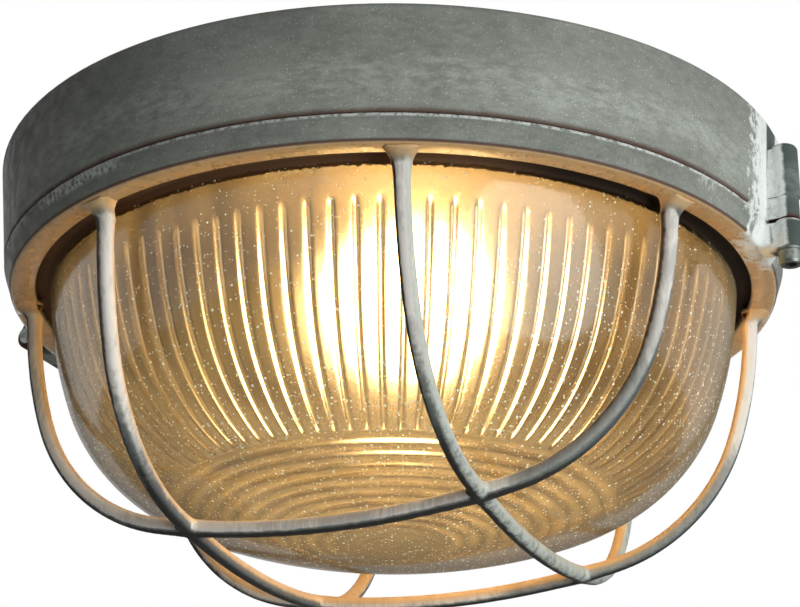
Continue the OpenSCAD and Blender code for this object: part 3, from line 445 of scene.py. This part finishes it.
def lit_lamp():
    """A glowing globe on a brass screw cap, told apart by their place along the lamp's axis."""
    lamp = bpy.context.scene.light_lamp
    f = Finish("lamp_glass")
    along = f.vector("DOT_PRODUCT", f.place, tuple(LAMP_AXIS))
    glows = f.between(along, -40.5 * MM, -39.5 * MM)
    swell = f.between(along, -34 * MM, 0.0, 0.04, 1.0)
    return f.done(f.principled(
        Base_Color=f.mix(glows, (0.62, 0.43, 0.17), (0.95, 0.93, 0.88)), Metallic=f.rest(glows), Roughness=0.32,
        Normal=f.bump(f.noise(900, 3, 0.6), 0.03 * MM, 0.4),
        Emission_Color=tuple(lamp.colour), Emission_Strength=f.times(glows, swell, lamp.strength)))


def metal(name, colour, rough, scratch=0.5, dull=0.6):
    """Plated or bare metal with fine scratches and duller patches."""
    f = Finish(name)
    patches = f.between(f.noise(320, 5, 0.65), 0.38, 0.66)
    shade = f.mix(f.times(patches, dull), tuple(colour), tuple(c * 0.55 for c in colour))
    lines = f.noise(1.0, 4, 0.7, f.stretched((350, 350, 4200)))
    worn = f.between(patches, 0.0, 1.0, rough, min(rough + 0.22, 1.0))
    return f.done(f.principled(Base_Color=shade, Metallic=1.0, Roughness=worn,
                               Normal=f.bump(lines, 0.03 * MM, scratch)))


def rubber(name, colour):
    """Dull rubber with dust."""
    f = Finish(name)
    dust = f.between(f.noise(700, 5, 0.7), 0.52, 0.72)
    shade = f.mix(f.times(dust, 0.4), tuple(colour), tuple(c * 1.6 + 0.01 for c in colour))
    return f.done(f.principled(Base_Color=shade, Roughness=0.85, Specular_IOR_Level=0.2,
                               Normal=f.bump(f.noise(1800, 3, 0.6), 0.08 * MM, 0.5)))


def glazed(name, colour):
    """White glazed china with a soft, slightly wavy gloss."""
    f = Finish(name)
    shade = f.mix(f.between(f.noise(90, 4, 0.6), 0.35, 0.7), tuple(colour), tuple(c * 0.86 for c in colour))
    return f.done(f.principled(Base_Color=shade, Roughness=0.16, Coat_Weight=0.4,
                               Normal=f.bump(f.noise(160, 2, 0.5), 0.3 * MM, 0.2)))


def moulded(name, colour, stripe=None):
    """Moulded plastic or cable insulation, mottled or with a stripe of a second colour."""
    f = Finish(name)
    if stripe:
        share = f.between(f.calc("SINE", f.vector("DOT_PRODUCT", f.place, (1700, 900, 1300))), 0.1, 0.35)
    else:
        share, stripe = f.between(f.noise(240, 4, 0.6), 0.4, 0.7), tuple(c * 0.8 for c in colour)
    return f.done(f.principled(Base_Color=f.mix(share, tuple(colour), stripe), Roughness=0.42,
                               Normal=f.bump(f.noise(1600, 3, 0.5), 0.04 * MM, 0.4)))


def dress(material, *nodes):
    """Give CAD nodes their finish."""
    for node in nodes:
        slots = frame["nodes"][node].data.materials
        slots.clear()
        slots.append(material)


# Helpers for shapes


class ShapeTree(NodeTree):
    """A Geometry Nodes tree with named inputs."""

    def __init__(self, name, inputs):
        super().__init__(bpy.data.node_groups.new(name, "GeometryNodeTree"))
        self.tree.is_modifier = True
        face = self.tree.interface
        for direction in ("INPUT", "OUTPUT"):
            face.new_socket("Geometry", in_out=direction, socket_type="NodeSocketGeometry")
        self.ids = {}
        for title, kind, value in inputs:
            socket = face.new_socket(title, in_out="INPUT", socket_type="NodeSocket" + kind)
            if value is not None:
                socket.default_value = value
            self.ids[title] = socket.identifier
        self.given = self.node("NodeGroupInput").outputs

    def named(self, name, kind="FLOAT"):
        return self.node("GeometryNodeInputNamedAttribute", {"Name": name}, data_type=kind).outputs["Attribute"]

    def scaled(self, vector, factor):
        return self.node("ShaderNodeVectorMath", {0: vector, "Scale": factor}, operation="SCALE").outputs["Vector"]

    def finish(self, geometry):
        whole = self.node("GeometryNodeRealizeInstances", {"Geometry": geometry}).outputs[0]
        painted = self.node("GeometryNodeSetMaterial", {"Geometry": whole, "Material": self.given["Material"]})
        self.node("NodeGroupOutput", {0: painted.outputs[0]})

    def apply(self, source, name, values):
        """Run the tree on the source object and return the result as a plain mesh object."""
        modifier = source.modifiers.new(self.tree.name, "NODES")
        modifier.node_group = self.tree
        for title, value in values.items():
            modifier[self.ids[title]] = value
        return plain_mesh(source, name)


def new_object(name, data):
    made = bpy.data.objects.new(name, data)
    bpy.context.scene.collection.objects.link(made)
    return made


def mesh_object(name, points, faces):
    mesh = bpy.data.meshes.new(name)
    mesh.from_pydata(points, [], faces)
    mesh.update()
    return new_object(name, mesh)


def plain_mesh(source, name):
    """The evaluated source as a plain mesh object. The source is removed."""
    seen = source.evaluated_get(bpy.context.evaluated_depsgraph_get())
    mesh = bpy.data.meshes.new_from_object(seen)
    bpy.data.objects.remove(source)
    made = new_object(name, mesh)
    mesh.name = name
    return made


def on_circle(angle):
    return Vector((math.cos(angle), math.sin(angle)))


def smooth_step(value, low, high):
    t = min(max((value - low) / (high - low), 0.0), 1.0)
    return t * t * (3 - 2 * t)


def arc_chain(depth, end, second, angles):
    """Three tangent arcs from level at (0, -depth) up to the end point: centre, radius, first and last angle.
    The middle radius and the angles are given, and the other two radii follow."""
    turn = math.radians(angles[0])
    both = math.radians(angles[0] + angles[1])
    whole = math.radians(sum(angles))
    across = (math.sin(turn), math.sin(both) - math.sin(turn), math.sin(whole) - math.sin(both))
    up = (1 - math.cos(turn), math.cos(turn) - math.cos(both), math.cos(both) - math.cos(whole))
    scale = across[0] * up[2] - across[2] * up[0]
    reach = end[0] - second * across[1]
    rise = end[1] + depth - second * up[1]
    first = (reach * up[2] - rise * across[2]) / scale
    third = (rise * across[0] - reach * up[0]) / scale
    start = -math.pi / 2
    c0 = Vector((0, first - depth))
    c1 = c0 + (first - second) * on_circle(start + turn)
    c2 = c1 + (second - third) * on_circle(start + both)
    return [
        (c0, first, start, start + turn),
        (c1, second, start + turn, start + both),
        (c2, third, start + both, start + whole),
    ]


def on_arc(arc, share):
    centre, radius, first, last = arc
    return centre + radius * on_circle(first + (last - first) * share)


# Glass dome


DOME = arc_chain(142.4 * MM, (129.2 * MM, -48.8 * MM), 61.6 * MM, (20.7, 50.4, 14.8))
DOME_LOW = DOME[0][0].y - DOME[0][1]
EYE = 20.2 * MM
EYE_RINGS = 5
RIB_END = 82 * MM
RIB_START = -58 * MM
RIB_EASE = 3 * MM
FLANGE_R = 138.8 * MM
FLANGE_LOW = -44.6 * MM
FLANGE_TOP = -39.6 * MM
FLANGE_CHAMFER = 0.6 * MM
# Places of the face edges across one rib's pitch, closer together on the rib
RIB_STEPS = (0.0, 0.15, 0.28, 0.335, 0.39, 0.445, 0.5, 0.555, 0.61, 0.665, 0.72, 0.85)
# Face edges round the plain rows
COARSE = 192
# Middle and half width, as shares of the pitch, of the side of a rib that gets painted shade
DARK_SIDE = 0.68
DARK_SIDE_HALF = 0.13


def inner_profile(wall):
    """Points (radius, height) up the inside of the dome, each with its direction into the room."""
    centre, radius, _, _ = DOME[0]
    eye_rows, ring_rows = 40, 120
    edges = [EYE * i / eye_rows for i in range(1, eye_rows)]
    edges += [EYE + (RIB_END - EYE) * i / ring_rows for i in range(ring_rows + 1)]
    rows = []
    for r in edges:
        angle = -math.pi / 2 + math.asin(r / (radius - wall))
        rows.append((centre + (radius - wall) * on_circle(angle), angle))
    gap = 0.2 * MM
    for (centre, radius, first, last), count in zip(DOME, (2, 26, 26)):
        for i in range(1, count + 1):
            angle = first + (last - first) * i / count
            point = centre + (radius - wall) * on_circle(angle)
            before = rows[-1][0]
            if point.x > before.x + gap or point.y > before.y + gap:
                rows.append((point, angle))
    return [(point, -on_circle(angle)) for point, angle in rows]


def outer_profile(wall):
    """Points over the flange and down the outside."""
    side = on_arc(DOME[2], 1)
    corner = FLANGE_CHAMFER
    rim = [
        (side.x - wall, FLANGE_TOP - 0.5 * MM), (side.x - wall + 0.5 * MM, FLANGE_TOP),
        (FLANGE_R - corner, FLANGE_TOP), (FLANGE_R, FLANGE_TOP - corner),
        (FLANGE_R, FLANGE_LOW + corner), (FLANGE_R - corner, FLANGE_LOW),
        (side.x + 1.2 * MM, FLANGE_LOW), (side.x + 0.35 * MM, FLANGE_LOW - 0.35 * MM),
        (side.x, FLANGE_LOW - 1.2 * MM),
    ]
    curve = [on_arc(DOME[2], i / 10) for i in range(10, 0, -1)]
    curve += [on_arc(DOME[1], i / 22) for i in range(21, 0, -1)]
    curve += [on_arc(DOME[0], i / 16) for i in range(15, 0, -1)]
    return [Vector(point) for point in rim] + curve


def rib_room(point):
    """1 where the ribs have their full height, falling to 0 at both of their ends."""
    if point.x <= RIB_END:
        return 0.0
    low_end = smooth_step(point.x, RIB_END + 0.3 * MM, RIB_END + RIB_EASE)
    return low_end * smooth_step(point.y, RIB_START + 0.4 * MM, RIB_START - RIB_EASE)


def dome_shell(wall, rib_count):
    """The dome before its ribs and rings are raised: a closed shell that stores what the tree needs at each point."""
    fine = [(i + f) / rib_count for i in range(rib_count) for f in RIB_STEPS]
    coarse = fine[::len(fine) // COARSE]
    points, faces, facts = [], [], []

    def add_row(point, inward, turns, rib=0.0, ring=0.0, eye=0.0):
        start = len(points)
        inside = 1.0 if inward.length > 0 else 0.0
        for t in turns:
            x, y = math.cos(2 * math.pi * t), math.sin(2 * math.pi * t)
            points.append((point.x * x, point.x * y, point.y))
            facts.append((t, rib, ring, eye, inside, inward.x * x, inward.x * y, inward.y))
        return start, len(turns)

    def join(low, high):
        """Faces between two rows, where one may be finer than the other."""
        (a, m), (b, n) = low, high
        if m == n:
            faces.extend((a + i, a + (i + 1) % m, b + (i + 1) % n, b + i) for i in range(m))
        elif m < n:
            k = n // m
            for i in range(m):
                fan = [b + (i * k + j) % n for j in range(k, -1, -1)]
                faces.append((a + i, a + (i + 1) % m, *fan))
        else:
            k = m // n
            for i in range(n):
                fan = [a + (i * k + j) % m for j in range(k + 1)]
                faces.append((*fan, b + (i + 1) % n, b + i))

    def close(row, height, inside):
        """A fan of faces to a pole."""
        start, count = row
        points.append((0, 0, height))
        facts.append((0, 0, 0, 0, 1.0 if inside else 0.0, 0, 0, 0))
        pole = len(points) - 1
        for i in range(count):
            a, b = start + i, start + (i + 1) % count
            faces.append((pole, b, a) if inside else (pole, a, b))

    rows = []
    for point, inward in inner_profile(wall):
        ring = (point.x - EYE) / (RIB_END - EYE) if EYE <= point.x <= RIB_END else 0.0
        eye = point.x / EYE if point.x < EYE else 0.0
        ribbed = point.x > RIB_END + 0.1 * MM and point.y < RIB_START + 0.6 * MM
        rows.append(add_row(point, inward, fine if ribbed else coarse, rib_room(point), ring, eye))
    rows += [add_row(point, Vector((0, 0)), coarse) for point in outer_profile(wall)]
    for low, high in zip(rows, rows[1:]):
        join(low, high)
    close(rows[0], DOME_LOW + wall, True)
    close(rows[-1], DOME_LOW, False)
    shell = mesh_object("dome_shell", points, [tuple(reversed(face)) for face in faces])
    for place, title in enumerate(("turn", "rib_room", "ring_turn", "eye_turn", "inside")):
        layer = shell.data.attributes.new(title, "FLOAT", "POINT")
        layer.data.foreach_set("value", [fact[place] for fact in facts])
    layer = shell.data.attributes.new("inward", "FLOAT_VECTOR", "POINT")
    layer.data.foreach_set("vector", [v for fact in facts for v in fact[5:8]])
    shell.data.polygons.foreach_set("use_smooth", [True] * len(shell.data.polygons))
    return shell


def pressed_glass_tree():
    """Raises the ribs round the wall and the rings round the bottom of the dome."""
    t = ShapeTree("Pressed glass", [
        ("Ribs", "Int", 96), ("Rib height", "Float", 1.1 * MM), ("Rib share", "Float", 0.42),
        ("Rings", "Int", 10), ("Ring height", "Float", 0.9 * MM),
        ("Eye rings", "Int", EYE_RINGS), ("Eye ring height", "Float", 0.1 * MM), ("Material", "Material", None),
    ])
    across = t.calc("FRACT", t.times(t.named("turn"), t.given["Ribs"]))
    off = t.calc("DIVIDE", t.calc("ABSOLUTE", t.calc("SUBTRACT", across, 0.5)), t.times(t.given["Rib share"], 0.5))
    off = t.calc("MINIMUM", off, 1.0)
    ridge = t.times(t.calc("ADD", t.calc("COSINE", t.times(off, math.pi)), 1.0), 0.5)
    crest = t.times(ridge, t.named("rib_room"))

    def waves(turn, count, height):
        return t.times(t.rest(t.calc("COSINE", t.times(turn, count, 2 * math.pi))), 0.5, height)

    ring = waves(t.named("ring_turn"), t.given["Rings"], t.given["Ring height"])
    eye = waves(t.named("eye_turn"), t.given["Eye rings"], t.given["Eye ring height"])
    raised = t.calc("ADD", t.calc("ADD", t.times(crest, t.given["Rib height"]), ring), eye)
    offset = t.scaled(t.named("inward", "FLOAT_VECTOR"), raised)
    shape = t.node("GeometryNodeSetPosition", {"Geometry": t.given["Geometry"], "Offset": offset}).outputs[0]

    # For the glass material: the crests, and the painted shade on one side of each rib and in the grooves between the
    # rings
    raised_ring = t.calc("DIVIDE", ring, t.given["Ring height"])
    crests = t.calc("ADD", crest, raised_ring)
    from_side = t.calc("ABSOLUTE", t.calc("SUBTRACT", across, DARK_SIDE))
    dark_side = t.calc("SUBTRACT", 1.0, t.calc("DIVIDE", from_side, DARK_SIDE_HALF), clamp=True)
    on_ring = t.calc("GREATER_THAN", t.named("ring_turn"), 0.0)
    groove = t.times(t.calc("POWER", t.rest(raised_ring), 3.0), on_ring)
    rib_shades = t.calc("ADD", t.times(dark_side, t.named("rib_room")), groove)
    for title, value in (("ridge", crests), ("rib_shade", rib_shades)):
        shape = t.node("GeometryNodeStoreNamedAttribute", {"Geometry": shape, "Name": title, "Value": value},
                       data_type="FLOAT", domain="POINT").outputs[0]
    t.finish(shape)
    return t


class CEILINGLIGHT_OT_glass_dome(bpy.types.Operator):
    """Make the pressed glass dome with its ribs, rings and bubbles"""

    bl_idname = "ceilinglight.glass_dome"
    bl_label = "Glass dome"

    def execute(self, context):
        sizes = context.scene.light_glass
        shell = dome_shell(sizes.wall, sizes.rib_count)
        dome = pressed_glass_tree().apply(shell, "ribbed_glass_dome", {
            "Ribs": sizes.rib_count, "Rib height": sizes.rib_height, "Rib share": sizes.rib_share,
            "Rings": sizes.ring_count, "Ring height": sizes.ring_height,
            "Eye rings": EYE_RINGS, "Eye ring height": sizes.eye_ring_height, "Material": seeded_glass(),
        })
        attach(dome, "guard")
        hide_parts("glass_dome")
        return {"FINISHED"}


# Guard


BAR_TOP = -52.6 * MM
BAR = arc_chain(147.6 * MM, (124.12 * MM, BAR_TOP), 66.5 * MM, (11.2, 60, 17.1))
# Steps of the straight ends above the arcs, and how much these lean out
BAR_END_STEP = Vector((0.10 * MM, 1.45 * MM))
BAR_END_STEPS = 4
BAR_END_LEAN = 0.28
# The higher the power, the squarer a bar's section
SQUARENESS = 2.9
KNOT_LENGTH = 4 * MM
GUARD_LOW = -48.4 * MM
GUARD_OPEN_R = 134.8 * MM
SHELF = -45.6 * MM
# The CAD bars lie inside this radius, below this height
CAD_BARS_R = 143.5 * MM
CAD_BARS_TOP = GUARD_LOW - 0.35 * MM
# Room that the cast feet may take outside the ring's opening
FOOT_NEAR = GUARD_OPEN_R + 0.25 * MM
FOOT_FAR = GUARD_OPEN_R + 8 * MM
FOOT_TOP = SHELF - 0.6 * MM


def bar_path():
    """Points along one bar in its own plane, from foot to foot, as (along, height)."""
    half = []
    for arc, count in zip(BAR, (14, 22, 14)):
        half += [on_arc(arc, i / count) for i in range(count)]
    half.append(on_arc(BAR[2], 1))
    for _ in range(BAR_END_STEPS):
        half.append(half[-1] + BAR_END_STEP)
    return [Vector((-p.x, p.y)) for p in reversed(half[1:])] + half


def bar_curves():
    """One curve with the four bars' centre lines. Each end leans outwards into the ring."""
    curve = bpy.data.curves.new("bar_lines", "CURVE")
    curve.dimensions = "3D"
    path = bar_path()
    for i in range(4):
        spin = Matrix.Rotation(BAR_AZIMUTH + i * math.pi / 2, 3, "Z")
        spline = curve.splines.new("POLY")
        spline.points.add(len(path) - 1)
        for point, (along, height) in zip(spline.points, path):
            place = spin @ Vector((along, -BAR_OFFSET, height))
            lean = max(0.0, height - BAR_TOP) * BAR_END_LEAN
            outwards = Vector((place.x, place.y, 0)).normalized()
            point.co = (*(place + outwards * lean), 1)
    return new_object("bar_lines", curve)


def cast_bar_tree():
    """Sweeps a rounded section along each bar, wider at its feet and where the bars cross."""
    t = ShapeTree("Cast bars", [
        ("Bar width", "Float", 5.8 * MM), ("Foot flare", "Float", 3.0 * MM), ("Foot length", "Float", 3.0 * MM),
        ("Crossing flare", "Float", 0.5 * MM), ("Crossing offset", "Float", BAR_OFFSET),
        ("Material", "Material", None),
    ])

    def flare(size, distance, fade):
        return t.times(size, t.calc("EXPONENT", t.times(-1.0, t.calc("DIVIDE", distance, fade))))

    run = t.node("GeometryNodeSplineParameter").outputs["Length"]
    whole = t.node("GeometryNodeSplineLength").outputs["Length"]
    from_end = t.calc("MINIMUM", run, t.calc("SUBTRACT", whole, run))
    from_middle = t.calc("ABSOLUTE", t.calc("SUBTRACT", run, t.times(whole, 0.5)))
    from_knot = t.calc("ABSOLUTE", t.calc("SUBTRACT", from_middle, t.given["Crossing offset"]))
    foot = flare(t.given["Foot flare"], from_end, t.given["Foot length"])
    knot = flare(t.given["Crossing flare"], from_knot, KNOT_LENGTH)
    radius = t.calc("ADD", t.times(t.given["Bar width"], 0.5), t.calc("ADD", foot, knot))
    # A squarer section with flatter faces
    circle = t.node("GeometryNodeCurvePrimitiveCircle", {"Resolution": 28, "Radius": 1.0}, mode="RADIUS")
    place = t.node("GeometryNodeInputPosition").outputs[0]
    x, y, _ = t.parts(place)
    power = t.calc("ADD", *(t.calc("POWER", t.calc("ABSOLUTE", side), SQUARENESS) for side in (x, y)))
    place = t.scaled(place, t.calc("POWER", power, -1 / SQUARENESS))
    section = t.node("GeometryNodeSetPosition", {"Geometry": circle.outputs["Curve"], "Position": place}).outputs[0]
    swept = t.node("GeometryNodeCurveToMesh", {
        "Curve": t.given["Geometry"], "Profile Curve": section, "Scale": radius, "Fill Caps": True,
    })
    t.finish(swept.outputs[0])
    return t


def cast_skin(made, grain, rounds):
    """Fuse what crosses into one skin and soften its inner corners, as a casting has them."""
    fuse = made.modifiers.new("Fuse", "REMESH")
    fuse.mode = "VOXEL"
    fuse.voxel_size = grain
    fuse.use_smooth_shade = True
    soften = made.modifiers.new("Soften", "SMOOTH")
    soften.factor = 0.5
    soften.iterations = rounds
    return plain_mesh(made, made.name)


def trim_feet(bars):
    """Keep the widened feet under the ring's shelf and out of its opening."""
    for v in bars.data.vertices:
        share = smooth_step(v.co.z, BAR_TOP - 1 * MM, GUARD_LOW)
        reach = math.hypot(v.co.x, v.co.y)
        if share > 0 and not FOOT_NEAR <= reach <= FOOT_FAR:
            grow = 1 + (min(max(reach, FOOT_NEAR), FOOT_FAR) / reach - 1) * share
            v.co.x *= grow
            v.co.y *= grow
        v.co.z = min(v.co.z, FOOT_TOP)


def ring_mesh():
    """The CAD guard without its bars, which give way to the cast ones."""
    mesh = frame["nodes"]["guard"].data.copy()
    ring = bmesh.new()
    ring.from_mesh(mesh)
    bmesh.ops.remove_doubles(ring, verts=ring.verts, dist=1e-6)
    bars = [v for v in ring.verts if v.co.z < CAD_BARS_TOP and math.hypot(v.co.x, v.co.y) < CAD_BARS_R]
    bmesh.ops.delete(ring, geom=bars, context="VERTS")
    ring.to_mesh(mesh)
    ring.free()
    mesh.name = "guard_ring"
    return mesh


def keep_material(made, material):
    mesh = made.data
    mesh.materials.clear()
    mesh.materials.append(material)
    mesh.polygons.foreach_set("material_index", [0] * len(mesh.polygons))
    mesh.polygons.foreach_set("use_smooth", [True] * len(mesh.polygons))


class CEILINGLIGHT_OT_guard_casting(bpy.types.Operator):
    """Make the guard casting: four crossing bars that flow into the ring"""

    bl_idname = "ceilinglight.guard_casting"
    bl_label = "Guard casting"

    def execute(self, context):
        sizes = context.scene.light_guard
        material = brushed_paint("weathered_paint_guard", True)
        bars = cast_bar_tree().apply(bar_curves(), "guard_bars", {
            "Bar width": sizes.bar_width, "Foot flare": sizes.foot_flare, "Foot length": sizes.foot_length,
            "Crossing flare": sizes.knot_flare, "Crossing offset": BAR_OFFSET, "Material": material,
        })
        bars = cast_skin(bars, sizes.grain, 5)
        trim_feet(bars)
        keep_material(bars, material)
        piece = new_object("guard_ring", ring_mesh())
        keep_material(piece, material)
        piece.data.set_sharp_from_angle(angle=math.radians(35))
        for part in (bars, piece):
            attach(part, "guard")
        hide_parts("guard")
        return {"FINISHED"}


# Finishes of the CAD pieces


class CEILINGLIGHT_OT_base_paint(bpy.types.Operator):
    """Paint the base casting"""

    bl_idname = "ceilinglight.base_paint"
    bl_label = "Base paint"

    def execute(self, context):
        dress(brushed_paint("weathered_paint_base", False), "base_housing")
        return {"FINISHED"}


class CEILINGLIGHT_OT_lamp(bpy.types.Operator):
    """Light the lamp and finish its holder"""

    bl_idname = "ceilinglight.lamp"
    bl_label = "Lamp and holder"

    def execute(self, context):
        dress(lit_lamp(), "light_bulb")
        dress(glazed("white_porcelain", (0.80, 0.78, 0.72)), "lampholder_body")
        brass = metal("holder_brass", (0.72, 0.50, 0.20), 0.28)
        dress(brass, "lampholder_shell", "centre_contact", "terminal_inserts")
        return {"FINISHED"}


class CEILINGLIGHT_OT_wiring(bpy.types.Operator):
    """Finish the terminal block and the leads"""

    bl_idname = "ceilinglight.wiring"
    bl_label = "Terminals and leads"

    def execute(self, context):
        dress(moulded("terminal_plastic", (0.72, 0.70, 0.63)), "terminal_block")
        dress(moulded("brown_insulation", (0.12, 0.045, 0.018)), "live_lead")
        dress(moulded("blue_insulation", (0.02, 0.06, 0.30)), "neutral_lead")
        dress(moulded("green_insulation", (0.035, 0.22, 0.045), (0.70, 0.60, 0.05)), "earth_lead")
        return {"FINISHED"}


class CEILINGLIGHT_OT_fixings(bpy.types.Operator):
    """Finish the screws, bracket, hinge pin, spring ring and clasp"""

    bl_idname = "ceilinglight.fixings"
    bl_label = "Steel fixings"

    def execute(self, context):
        dress(metal("bright_steel", (0.58, 0.58, 0.57), 0.30), "holder_bracket", "bracket_screws", "holder_screws",
              "terminal_screws", "block_screws", "retaining_ring")
        dress(metal("earth_brass", (0.66, 0.46, 0.19), 0.32), "earth_screw")
        dress(metal("clasp_steel", (0.22, 0.24, 0.22), 0.38, 0.8, 0.9), "clasp_screw", "clasp_washer", "hinge_pin")
        return {"FINISHED"}


class CEILINGLIGHT_OT_seals(bpy.types.Operator):
    """Finish the seals and the cable grommet"""

    bl_idname = "ceilinglight.seals"
    bl_label = "Rubber seals"

    def execute(self, context):
        dress(rubber("black_rubber", (0.016, 0.014, 0.012)), "base_seal", "cable_grommet")
        # The gasket's brown rubber is lightened as painted light in its shaded recess
        dress(rubber("brown_rubber", (0.46, 0.25, 0.13)), "glass_gasket")
        return {"FINISHED"}


# Studio


# The camera as solved from the photo's outlines
PHOTO_WIDTH = 800
FOCAL_PIXELS = 2260.36
SENSOR = 36
LOOK_AT = Vector((2.458 * MM, 0, -45.101 * MM))
LOOK_FROM = 860.767 * MM
LOOK_UP = 0.392
LOOK_TILT = 0.003
FLOOR_HALF = 6


def soft_light(name, watts, size, place, aim, colour=(1, 1, 1)):
    data = bpy.data.lights.new(name, "AREA")
    data.shape = "DISK"
    data.size = size
    data.energy = watts
    data.color = colour
    lamp = new_object(name, data)
    lamp.location = place
    lamp.rotation_euler = (Vector(aim) - Vector(place)).to_track_quat("-Z", "Y").to_euler()


class CEILINGLIGHT_OT_studio(bpy.types.Operator):
    """Set up the floor, the soft lights and the camera below the light"""

    bl_idname = "ceilinglight.studio"
    bl_label = "Studio"

    def execute(self, context):
        scene = context.scene
        studio = scene.light_studio
        far, low = FLOOR_HALF, -studio.floor_drop
        corners = [(-far, -far, low), (far, -far, low), (far, far, low), (-far, far, low)]
        floor = mesh_object("floor", corners, [(0, 1, 2, 3)])
        f = Finish("pale_floor")
        shade = f.mix(f.noise(3, 3, 0.5), (0.80, 0.80, 0.79), (0.84, 0.84, 0.83))
        floor.data.materials.append(f.done(f.principled(Base_Color=shade, Roughness=0.7)))

        soft_light("key_light", studio.key, 1.5, (1.04, -1.10, -0.30), (0.05, 0, -0.03), (0.955, 1.0, 0.98))
        soft_light("fill_light", studio.fill, 1.2, (-1.3, -1.2, 0.1), (0, 0, -0.05), (0.95, 0.98, 1.0))
        soft_light("back_light", studio.back, 1.5, (-0.35, 1.6, 0.75), (0, 0.05, -0.04))

        # White to the camera, in reflections and through the glass, and a dim warm light on everything else
        world = bpy.data.worlds.new("room")
        scene.world = world
        world.use_nodes = True
        w = NodeTree(world.node_tree)
        path = w.node("ShaderNodeLightPath").outputs
        mirrored = w.calc("MAXIMUM", path["Is Glossy Ray"], path["Is Transmission Ray"])
        seen = w.calc("MAXIMUM", path["Is Camera Ray"], mirrored)
        room = w.node("ShaderNodeBackground", {"Color": (1.0, 0.98, 0.95), "Strength": studio.room}).outputs[0]
        white = w.node("ShaderNodeBackground", {"Color": (1, 1, 1), "Strength": 1.0}).outputs[0]
        w.node("ShaderNodeOutputWorld", {"Surface": w.blend(seen, room, white)})

        data = bpy.data.cameras.new("camera")
        data.sensor_width = SENSOR
        data.lens = FOCAL_PIXELS * SENSOR / PHOTO_WIDTH
        data.clip_start, data.clip_end = 0.01, 50
        camera = new_object("camera", data)
        look = Vector((0, math.cos(LOOK_UP), math.sin(LOOK_UP)))
        camera.location = LOOK_AT - look * LOOK_FROM
        camera.rotation_mode = "QUATERNION"
        tilt = Matrix.Rotation(LOOK_TILT, 4, "Z").to_quaternion()
        camera.rotation_quaternion = look.to_track_quat("-Z", "Y") @ tilt
        scene.camera = camera
        scene.view_settings.view_transform = "Standard"
        return {"FINISHED"}


class CEILINGLIGHT_PT_panel(bpy.types.Panel):
    bl_idname = "CEILINGLIGHT_PT_panel"
    bl_label = "Ceiling Light"
    bl_space_type = "VIEW_3D"
    bl_region_type = "UI"
    bl_category = "Ceiling Light"

    def draw(self, context):
        layout = self.layout
        for name, (title, group) in GROUPS.items():
            box = layout.box()
            box.label(text=title)
            for field in group.__annotations__:
                box.prop(getattr(context.scene, name), field)
        for operator in OPERATORS:
            layout.operator(operator.bl_idname)


OPERATORS = (
    CEILINGLIGHT_OT_base_paint, CEILINGLIGHT_OT_guard_casting, CEILINGLIGHT_OT_glass_dome, CEILINGLIGHT_OT_lamp,
    CEILINGLIGHT_OT_wiring, CEILINGLIGHT_OT_fixings, CEILINGLIGHT_OT_seals, CEILINGLIGHT_OT_studio,
)
GROUPS = {
    "light_glass": ("Glass", GlassSizes),
    "light_guard": ("Guard", GuardSizes),
    "light_paint": ("Paint", PaintFinish),
    "light_lamp": ("Lamp", LampFinish),
    "light_studio": ("Studio", StudioSettings),
}


def register():
    for name, (_, group) in GROUPS.items():
        bpy.utils.register_class(group)
        setattr(bpy.types.Scene, name, bpy.props.PointerProperty(type=group))
    for operator in OPERATORS:
        bpy.utils.register_class(operator)
    bpy.utils.register_class(CEILINGLIGHT_PT_panel)


def unregister():
    bpy.utils.unregister_class(CEILINGLIGHT_PT_panel)
    for operator in reversed(OPERATORS):
        bpy.utils.unregister_class(operator)
    for name, (_, group) in reversed(GROUPS.items()):
        delattr(bpy.types.Scene, name)
        bpy.utils.unregister_class(group)


def main():
    register()
    bpy.ops.ceilinglight.base_paint()
    bpy.ops.ceilinglight.guard_casting()
    bpy.ops.ceilinglight.glass_dome()
    bpy.ops.ceilinglight.lamp()
    bpy.ops.ceilinglight.wiring()
    bpy.ops.ceilinglight.fixings()
    bpy.ops.ceilinglight.seals()
    bpy.ops.ceilinglight.studio()


if __name__ == "__main__":
    main()
